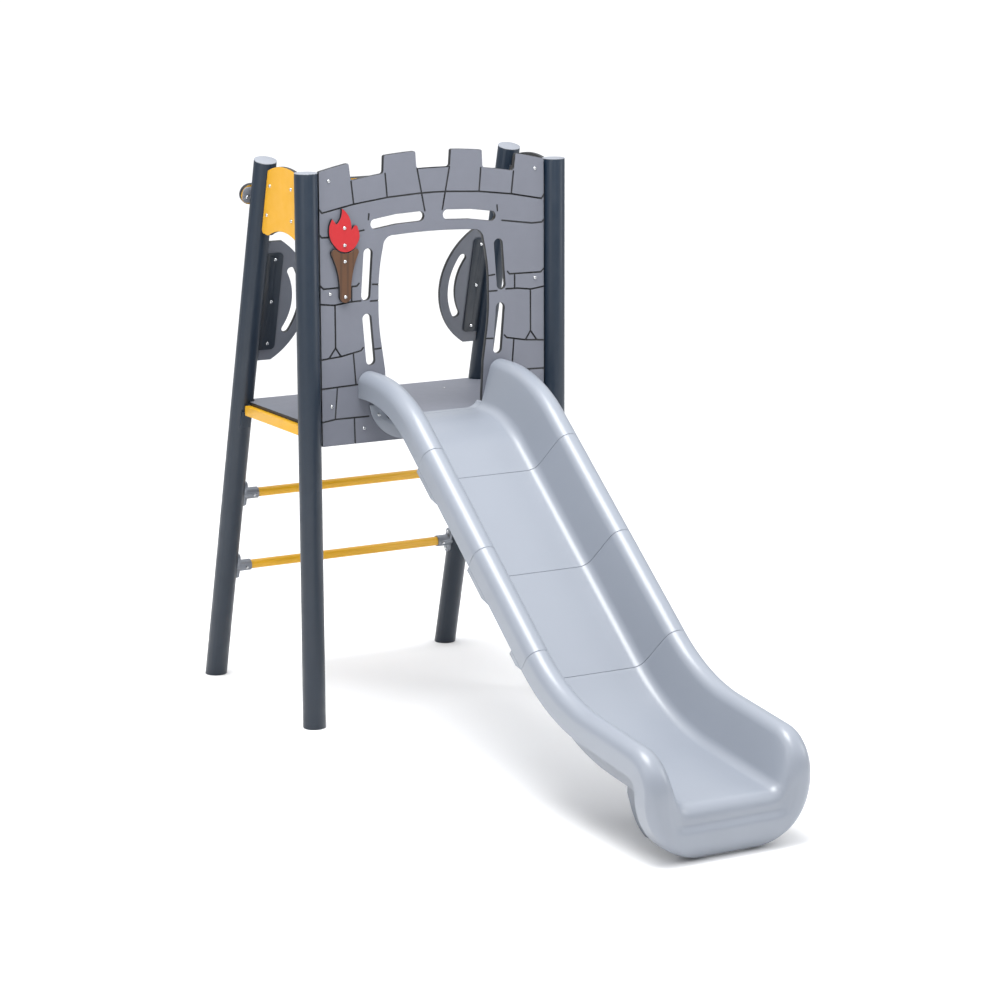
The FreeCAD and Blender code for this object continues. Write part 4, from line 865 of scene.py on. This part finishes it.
# ---------------------------------------------------------------- fasteners
def lathe(work, profile, count):
    """Spins a profile of radius and height about the upright axis; a zero radius closes it."""
    rings = []
    for radius, height in profile:
        if radius == 0.0:
            rings.append([work.verts.new((0.0, 0.0, height))])
            continue
        rings.append([
            work.verts.new((
                radius * math.cos(2 * math.pi * i / count), radius * math.sin(2 * math.pi * i / count), height,
            )) for i in range(count)
        ])
    for low, high in zip(rings[:-1], rings[1:]):
        for i in range(count):
            j = (i + 1) % count
            if len(low) == 1:
                work.faces.new((low[0], high[j], high[i]))
            elif len(high) == 1:
                work.faces.new((low[i], low[j], high[0]))
            else:
                work.faces.new((low[i], low[j], high[j], high[i]))
    return rings


def button_head():
    """A domed head with a hexagon socket, top at zero, one unit wide."""
    s = sizes()
    unit = s.head_diameter
    r = 0.5
    h = s.head_height / unit
    key = s.key_width / unit / math.sqrt(3)
    work = bmesh.new()
    profile = [(0.0, -h), (r * 0.96, -h), (r, -h * 0.92)]
    for i in range(1, 7):
        a = math.radians(15 * i)
        profile.append((key * 1.25 + (r - key * 1.25) * math.cos(a), -h * 0.92 + h * 0.92 * math.sin(a)))
    rings = lathe(work, profile, 24)
    hexagon = []
    for i in range(24):
        a = 2 * math.pi * i / 24
        flat = math.cos(math.pi / 6) / math.cos((a % (math.pi / 3)) - math.pi / 6)
        hexagon.append((key * flat * math.cos(a), key * flat * math.sin(a)))
    socket = [[work.verts.new((x, y, z)) for x, y in hexagon] for z in (-h * 0.03, -h * 0.6)]
    bridged(work, [rings[-1]] + socket)
    work.faces.new(socket[-1])
    bmesh.ops.recalc_face_normals(work, faces=work.faces)
    mesh = mesh_from(work, "button_head")
    for face in mesh.polygons:
        face.use_smooth = True
    mesh.set_sharp_from_angle(angle=math.radians(40.0))
    return shown("button_head", mesh)


def hexagon_nut():
    """A chamfered nut around its bolt's end, middle at zero, one unit across the flats."""
    s = sizes()
    h = s.nut_height / s.nut_width / 2
    work = bmesh.new()
    corner = 0.5 / math.cos(math.pi / 6)
    rings = []
    for z, mix in ((-h, 0.0), (-h * 0.8, 1.0), (h * 0.8, 1.0), (h, 0.0)):
        ring = []
        for i in range(24):
            a = 2 * math.pi * i / 24
            flat = math.cos(math.pi / 6) / math.cos((a % (math.pi / 3)) - math.pi / 6) * corner
            radius = 0.47 + (flat - 0.47) * mix
            ring.append(work.verts.new((radius * math.cos(a), radius * math.sin(a), z)))
        rings.append(ring)
    bridged(work, rings)
    work.faces.new(list(reversed(rings[0])))
    work.faces.new(rings[-1])
    bmesh.ops.recalc_face_normals(work, faces=work.faces)
    return shown("hexagon_nut", mesh_from(work, "hexagon_nut"))


def plain_shank():
    """A round shank, top at zero, one unit wide and one long."""
    work = bmesh.new()
    lathe(work, [(0.0, -1.0), (0.46, -1.0), (0.5, -0.97), (0.5, 0.0), (0.0, 0.0)], 16)
    bmesh.ops.recalc_face_normals(work, faces=work.faces)
    return shown("plain_shank", mesh_from(work, "plain_shank"))


def loose_parts(work):
    """The separate bodies in a merged mesh, each as its list of faces."""
    left = set(work.faces)
    parts = []
    while left:
        seed = left.pop()
        part = [seed]
        queue = [seed]
        while queue:
            for edge in queue.pop().edges:
                for face in edge.link_faces:
                    if face in left:
                        left.remove(face)
                        part.append(face)
                        queue.append(face)
        parts.append(part)
    return parts


def axis_of(part):
    """Middle and turning axis of a turned or hexagonal part, from how its surface is spread."""
    weights = np.array([f.calc_area() for f in part])
    points = np.array([f.calc_center_median()[:] for f in part])
    middle = (points * weights[:, None]).sum(0) / weights.sum()
    spread = ((points - middle) * weights[:, None]).T @ (points - middle) / weights.sum()
    values, vectors = np.linalg.eigh(spread)
    odd = 2 if values[1] - values[0] < values[2] - values[1] else 0
    return Vector(middle), Vector(vectors[:, odd])


def bolt_places(node):
    """Head top, facing and length of each bolt in a node."""
    work = merged_copy(node)
    places = []
    for part in loose_parts(work):
        middle, axis = axis_of(part)
        verts = {v for f in part for v in f.verts}
        far = []
        for offset in [v.co - middle for v in verts]:
            rise = offset.dot(axis)
            far.append((rise, (offset - axis * rise).length))
        high = max(d for d, _ in far)
        low = min(d for d, _ in far)
        reach = sizes().head_height * 1.1
        head_up = max(r for d, r in far if d > high - reach)
        head_down = max(r for d, r in far if d < low + reach)
        if head_down > head_up:
            axis = -axis
            high, low = -low, -high
        places.append((middle + axis * high, axis, high - low, max(head_up, head_down) * 2))
    work.free()
    return places


def nut_places(node):
    work = merged_copy(node)
    places = []
    for part in loose_parts(work):
        middle, axis = axis_of(part)
        far = [(v.co - middle).dot(axis) for f in part for v in f.verts]
        low, high = min(far), max(far)
        places.append((middle + axis * (high + low) / 2, axis, high - low, sizes().nut_width))
    work.free()
    return places


def fastener_tree():
    """Sets a head and a shank on every point, turned to its facing."""
    tree = bpy.data.node_groups.new("fastener_rows", "GeometryNodeTree")
    ids = group_sockets(tree, (
        ("Places", "NodeSocketGeometry"), ("Head", "NodeSocketObject"), ("Shank", "NodeSocketObject"),
        ("Shank diameter", "NodeSocketFloat"), ("Head height", "NodeSocketFloat"),
        ("Metal", "NodeSocketMaterial"),
    ))
    given = add(tree, "NodeGroupInput")
    points = add(tree, "GeometryNodeMeshToPoints", {"Mesh": given.outputs["Places"]})
    facing = add(tree, "GeometryNodeInputNamedAttribute", {"Name": "facing"}, data_type="FLOAT_VECTOR")
    width = add(tree, "GeometryNodeInputNamedAttribute", {"Name": "width"}, data_type="FLOAT")
    reach = add(tree, "GeometryNodeInputNamedAttribute", {"Name": "reach"}, data_type="FLOAT")
    turn = add(tree, "FunctionNodeAlignRotationToVector", {"Vector": facing.outputs["Attribute"]}, axis="Z")
    head = add(tree, "GeometryNodeObjectInfo", {"Object": given.outputs["Head"]})
    heads = add(tree, "GeometryNodeInstanceOnPoints", {
        "Points": points.outputs["Points"], "Instance": head.outputs["Geometry"],
        "Rotation": turn.outputs["Rotation"], "Scale": width.outputs["Attribute"],
    })
    shank = add(tree, "GeometryNodeObjectInfo", {"Object": given.outputs["Shank"]})
    clear = add(tree, "ShaderNodeMath", {
        0: reach.outputs["Attribute"], 1: given.outputs["Head height"],
    }, operation="SUBTRACT")
    size = add(tree, "ShaderNodeCombineXYZ", {
        "X": given.outputs["Shank diameter"], "Y": given.outputs["Shank diameter"], "Z": clear.outputs[0],
    })
    down = add(tree, "ShaderNodeMath", {0: given.outputs["Head height"], 1: -1.0}, operation="MULTIPLY")
    step = add(tree, "ShaderNodeVectorMath", {
        0: facing.outputs["Attribute"], "Scale": down.outputs[0],
    }, operation="SCALE")
    sunk = add(tree, "GeometryNodeSetPosition", {
        "Geometry": points.outputs["Points"], "Offset": step.outputs["Vector"],
    })
    shanks = add(tree, "GeometryNodeInstanceOnPoints", {
        "Points": sunk.outputs["Geometry"], "Instance": shank.outputs["Geometry"],
        "Rotation": turn.outputs["Rotation"], "Scale": size.outputs["Vector"],
    })
    both = add(tree, "GeometryNodeJoinGeometry")
    tree.links.new(heads.outputs["Instances"], both.inputs["Geometry"])
    tree.links.new(shanks.outputs["Instances"], both.inputs["Geometry"])
    real = add(tree, "GeometryNodeRealizeInstances", {"Geometry": both.outputs["Geometry"]})
    metal = add(tree, "GeometryNodeSetMaterial", {
        "Geometry": real.outputs["Geometry"], "Material": given.outputs["Metal"],
    })
    add(tree, "NodeGroupOutput", {"Geometry": metal.outputs["Geometry"]})
    return tree, ids


def fastener_row(node, places, tree, ids, head, shank, head_height, shank_diameter, material):
    """All the bolts or nuts of one node, as one plain mesh."""
    mesh = bpy.data.meshes.new(node + "_places")
    mesh.from_pydata([p[0] for p in places], [], [])
    facing = mesh.attributes.new("facing", "FLOAT_VECTOR", "POINT")
    facing.data.foreach_set("vector", [c for p in places for c in p[1]])
    reach = mesh.attributes.new("reach", "FLOAT", "POINT")
    reach.data.foreach_set("value", [p[2] for p in places])
    width = mesh.attributes.new("width", "FLOAT", "POINT")
    width.data.foreach_set("value", [p[3] for p in places])
    obj = shown(node + "_finished", mesh)
    rows = obj.modifiers.new("rows", "NODES")
    rows.node_group = tree
    rows[ids["Head"]] = head
    rows[ids["Shank"]] = shank
    rows[ids["Shank diameter"]] = shank_diameter
    rows[ids["Head height"]] = head_height
    rows[ids["Metal"]] = finish(material)
    settled(obj)
    for name in ("facing", "reach", "width"):
        found = obj.data.attributes.get(name)
        if found:
            obj.data.attributes.remove(found)
    return dressed(obj, material, [node])


def removed(obj):
    mesh = obj.data
    bpy.data.objects.remove(obj)
    bpy.data.meshes.remove(mesh)


# ---------------------------------------------------------------- operators
class PLAYSLIDE_OT_posts(bpy.types.Operator):
    """Dress the four posts, their caps and their foot plugs"""
    bl_idname = "playslide.posts"
    bl_label = "Posts and caps"

    def execute(self, context):
        s = sizes()
        for side in ("left", "right"):
            for row in ("front", "rear"):
                softened(f"post_{row}_{side}", s.metal_edge, "satin_powder_coat_slate")
        for row in ("front", "rear"):
            softened(f"caps_{row}", s.cap_edge, "moulded_cap_grey")
            softened(f"foot_plugs_{row}", s.metal_edge, "moulded_cap_grey")
        return {"FINISHED"}


class PLAYSLIDE_OT_castle_panel(bpy.types.Operator):
    """Dress the castle panel with its engraved stones and its fixing tabs"""
    bl_idname = "playslide.castle_panel"
    bl_label = "Castle panel"

    def execute(self, context):
        s = sizes()
        softened("castle_panel", s.sheet_edge, "sheet_polyethylene_stone", ACROSS)
        for side in ("left", "right"):
            softened(f"panel_tabs_{side}", s.metal_edge, "galvanised_steel")
            softened(f"deck_angle_{side}", s.metal_edge, "galvanised_steel")
        return {"FINISHED"}


class PLAYSLIDE_OT_torch(bpy.types.Operator):
    """Dress the flame and the torch's handle"""
    bl_idname = "playslide.torch"
    bl_label = "Torch"

    def execute(self, context):
        s = sizes()
        softened("torch_flame", s.sheet_edge, "sheet_polyethylene_red", ACROSS)
        softened("torch_handle", s.sheet_edge, "sheet_polyethylene_wood", ACROSS)
        return {"FINISHED"}


class PLAYSLIDE_OT_side_sheets(bpy.types.Operator):
    """Dress the two side panels, the rear header and their tabs and plates"""
    bl_idname = "playslide.side_sheets"
    bl_label = "Side panels and header"

    def execute(self, context):
        s = sizes()
        softened("rear_header", s.sheet_edge, "sheet_polyethylene_header", LEAN_NORMAL)
        for side in ("left", "right"):
            softened(f"side_panel_{side}", s.sheet_edge, "sheet_polyethylene_yellow", SIDEWAYS)
            softened(f"side_panel_tabs_{side}", s.metal_edge, "galvanised_steel")
            softened(f"header_plate_{side}", s.metal_edge, "moulded_cap_grey")
        return {"FINISHED"}


class PLAYSLIDE_OT_hand_grips(bpy.types.Operator):
    """Dress the hand grips and their black plates"""
    bl_idname = "playslide.hand_grips"
    bl_label = "Hand grips"

    def execute(self, context):
        s = sizes()
        for side in ("left", "right"):
            softened(f"hand_grip_{side}", s.sheet_edge, "sheet_polyethylene_grip", LEAN_NORMAL)
            softened(f"grip_plate_{side}", s.metal_edge, "satin_powder_coat_black")
        return {"FINISHED"}


class PLAYSLIDE_OT_deck(bpy.types.Operator):
    """Dress the deck, its joists, its beams and their brackets"""
    bl_idname = "playslide.deck"
    bl_label = "Deck"

    def execute(self, context):
        s = sizes()
        softened("deck", s.sheet_edge, "sheet_polyethylene_deck", UPRIGHT)
        softened("deck_joists", s.metal_edge, "galvanised_steel")
        for side in ("left", "right"):
            softened(f"deck_beam_{side}", s.metal_edge, "satin_powder_coat_yellow")
            softened(f"beam_sockets_{side}", s.metal_edge, "satin_powder_coat_slate")
        return {"FINISHED"}


class PLAYSLIDE_OT_ladder(bpy.types.Operator):
    """Dress the rungs and their cast sockets"""
    bl_idname = "playslide.ladder"
    bl_label = "Ladder"

    def execute(self, context):
        s = sizes()
        for row in ("lower", "upper"):
            softened(f"rung_{row}", s.metal_edge, "satin_powder_coat_yellow")
        for side in ("left", "right"):
            softened(f"rung_sockets_{side}", s.metal_edge, "cast_aluminium_grey")
        return {"FINISHED"}


class PLAYSLIDE_OT_trough(bpy.types.Operator):
    """Sweep the top and middle sections of the slide"""
    bl_idname = "playslide.trough"
    bl_label = "Slide sections"

    def execute(self, context):
        s = sizes()
        section = polyline_object("trough_outline", [(x, -n, 0.0) for x, n in trough_line()])
        tree, ids = trough_tree()
        half = s.seam / 2
        tongue = [(PANEL_FRONT - SEAT, DECK_TOP)]
        crest = crest_points(20)
        first = slope_points(0.0, s.first_run - half, 5)[1:]
        start = swept_section("slide_start", tongue + crest + first, section, tree, ids)
        add_tongue(start)
        for i, node in enumerate(("slide_upper", "slide_lower")):
            begin = s.first_run + i * s.section
            swept_section(node, slope_points(begin + half, begin + s.section - half, 18), section, tree, ids)
        removed(section)
        bpy.data.node_groups.remove(tree)
        return {"FINISHED"}


class PLAYSLIDE_OT_exit(bpy.types.Operator):
    """Mould the slide's exit and rounded nose, and dress its legs"""
    bl_idname = "playslide.exit"
    bl_label = "Slide exit"

    def execute(self, context):
        s = sizes()
        obj = shown("slide_exit_finished", skin_mesh("slide_exit_rough", nose_skin()))
        faces_outward(obj.data, Vector((0.0, -0.4, 1.0)))
        moulded(obj, ends=False)
        add_runners(obj)
        dressed(obj, "moulded_gelcoat_grey", ["slide_exit"])
        for side in ("left", "right"):
            softened(f"exit_leg_{side}", s.cap_edge, "moulded_gelcoat_grey")
        return {"FINISHED"}


class PLAYSLIDE_OT_slide_brackets(bpy.types.Operator):
    """Dress the flange, the saddles and the lugs that join the slide"""
    bl_idname = "playslide.slide_brackets"
    bl_label = "Slide brackets"

    def execute(self, context):
        s = sizes()
        softened("slide_flange", s.sheet_edge, "moulded_gelcoat_grey")
        softened("joint_lugs", s.cap_edge, "moulded_gelcoat_grey")
        for place in ("upper", "middle", "lower"):
            softened(f"saddle_{place}", s.metal_edge, "moulded_gelcoat_grey")
        return {"FINISHED"}


class PLAYSLIDE_OT_fasteners(bpy.types.Operator):
    """Set every bolt and nut in rows"""
    bl_idname = "playslide.fasteners"
    bl_label = "Bolts and nuts"

    def execute(self, context):
        s = sizes()
        head = button_head()
        nut = hexagon_nut()
        shank = plain_shank()
        tree, ids = fastener_tree()
        for group in ("panel", "torch", "side_panel", "header", "grip", "ladder", "flange", "joint"):
            node = group + "_bolts"
            fastener_row(
                node, bolt_places(node), tree, ids, head, shank, s.head_height, s.shank_diameter,
                "stainless_steel",
            )
        for group in ("panel", "side_panel", "header", "grip"):
            node = group + "_nuts"
            fastener_row(
                node, nut_places(node), tree, ids, nut, shank, s.nut_height / 2 - millimetres(1.0),
                s.shank_diameter, "galvanised_steel",
            )
        softened("deck_bolts", millimetres(0.3), "stainless_steel")
        for helper in (head, nut, shank):
            removed(helper)
        bpy.data.node_groups.remove(tree)
        return {"FINISHED"}


def studio_air():
    """Soft white light, bright overhead and dim at eye level, seen as plain white behind the floor."""
    world = bpy.data.worlds.new("studio_air")
    world.use_nodes = True
    tree = world.node_tree
    tree.nodes.clear()
    way = add(tree, "ShaderNodeTexCoord").outputs["Generated"]
    height = add(tree, "ShaderNodeSeparateXYZ", {"Vector": way}).outputs["Z"]
    glow = add(tree, "ShaderNodeMapRange", {
        "Value": height, "From Min": 0.3, "From Max": 0.8, "To Min": 0.52, "To Max": 1.6,
    }, interpolation_type="SMOOTHSTEP")
    seen = add(tree, "ShaderNodeLightPath").outputs["Is Camera Ray"]
    strength = add(tree, "ShaderNodeMath", {0: glow.outputs["Result"], 1: seen}, operation="MAXIMUM")
    air = add(tree, "ShaderNodeBackground", {"Color": (0.97, 0.98, 1.0, 1.0), "Strength": strength.outputs[0]})
    add(tree, "ShaderNodeOutputWorld", {"Surface": air.outputs["Background"]})
    return world


class PLAYSLIDE_OT_stage(bpy.types.Operator):
    """Set up the floor, the soft lights and the camera"""
    bl_idname = "playslide.stage"
    bl_label = "Stage"

    def execute(self, context):
        scene = context.scene
        mesh = bpy.data.meshes.new("studio_floor")
        far = 120.0
        low = CAD_BOX[0].z - millimetres(0.5)
        corners = [(-far, -far, low), (far, -far, low), (far, far, low), (-far, far, low)]
        mesh.from_pydata(corners, [], [(0, 1, 2, 3)])
        mesh.materials.append(finish("matt_floor_paint"))
        shown("studio_floor", mesh)

        scene.world = studio_air()
        self.lamp("overhead_softbox", (-1.0, -1.0, 6.4), (0.0, -0.5, 0.8), 3.2, 420.0)
        self.lamp("left_softbox", (-6.0, -1.5, 3.4), (0.0, 0.0, 0.9), 2.6, 45.0)
        self.lamp("right_softbox", (5.0, -3.4, 3.0), (0.0, -1.0, 0.5), 2.4, 70.0)

        data = bpy.data.cameras.new("view_camera")
        data.sensor_width = 36.0
        data.lens = 115.49
        data.clip_end = 500.0
        camera = bpy.data.objects.new("view_camera", data)
        scene.collection.objects.link(camera)
        camera.location = (-5.7462, -10.3280, 3.4657)
        look = Vector((0.2930, 0.5895, 0.8183)) - camera.location
        turn = look.to_track_quat("-Z", "Y").to_matrix().to_4x4()
        camera.rotation_euler = turn.to_euler()
        camera.rotation_euler.rotate_axis("Z", math.radians(-0.22))
        scene.camera = camera
        scene.view_settings.view_transform = "Standard"
        return {"FINISHED"}

    def lamp(self, name, place, target, size, watts):
        """A square softbox turned to its target."""
        data = bpy.data.lights.new(name, "AREA")
        data.shape = "SQUARE"
        data.size = size
        data.energy = watts
        light = bpy.data.objects.new(name, data)
        light.location = place
        light.rotation_euler = (Vector(target) - Vector(place)).to_track_quat("-Z", "Y").to_euler()
        bpy.context.scene.collection.objects.link(light)


STEPS = (
    PLAYSLIDE_OT_posts, PLAYSLIDE_OT_castle_panel, PLAYSLIDE_OT_torch, PLAYSLIDE_OT_side_sheets,
    PLAYSLIDE_OT_hand_grips, PLAYSLIDE_OT_deck, PLAYSLIDE_OT_ladder, PLAYSLIDE_OT_trough, PLAYSLIDE_OT_exit,
    PLAYSLIDE_OT_slide_brackets, PLAYSLIDE_OT_fasteners, PLAYSLIDE_OT_stage,
)


class PLAYSLIDE_PT_sidebar(bpy.types.Panel):
    """Lists the pieces, sizes and colours of the tower"""
    bl_idname = "PLAYSLIDE_PT_sidebar"
    bl_label = "Castle Tower Slide"
    bl_space_type = "VIEW_3D"
    bl_region_type = "UI"
    bl_category = "Play Slide"

    def draw(self, context):
        layout = self.layout
        for step in STEPS:
            layout.operator(step.bl_idname)
        for title, group in (("Sizes", sizes()), ("Colours", colours())):
            layout.label(text=title)
            for name in group.bl_rna.properties.keys():
                if name not in ("rna_type", "name"):
                    layout.prop(group, name)


def register():
    for group in SETTINGS + STEPS + (PLAYSLIDE_PT_sidebar,):
        bpy.utils.register_class(group)
    bpy.types.Scene.play_slide_sizes = bpy.props.PointerProperty(type=PlaySlideSizes)
    bpy.types.Scene.play_slide_colours = bpy.props.PointerProperty(type=PlaySlideColours)


def unregister():
    del bpy.types.Scene.play_slide_colours
    del bpy.types.Scene.play_slide_sizes
    for group in reversed(SETTINGS + STEPS + (PLAYSLIDE_PT_sidebar,)):
        bpy.utils.unregister_class(group)


def main():
    register()
    for step in STEPS:
        family, action = step.bl_idname.split(".")
        getattr(getattr(bpy.ops, family), action)()


if __name__ == "__main__":
    main()
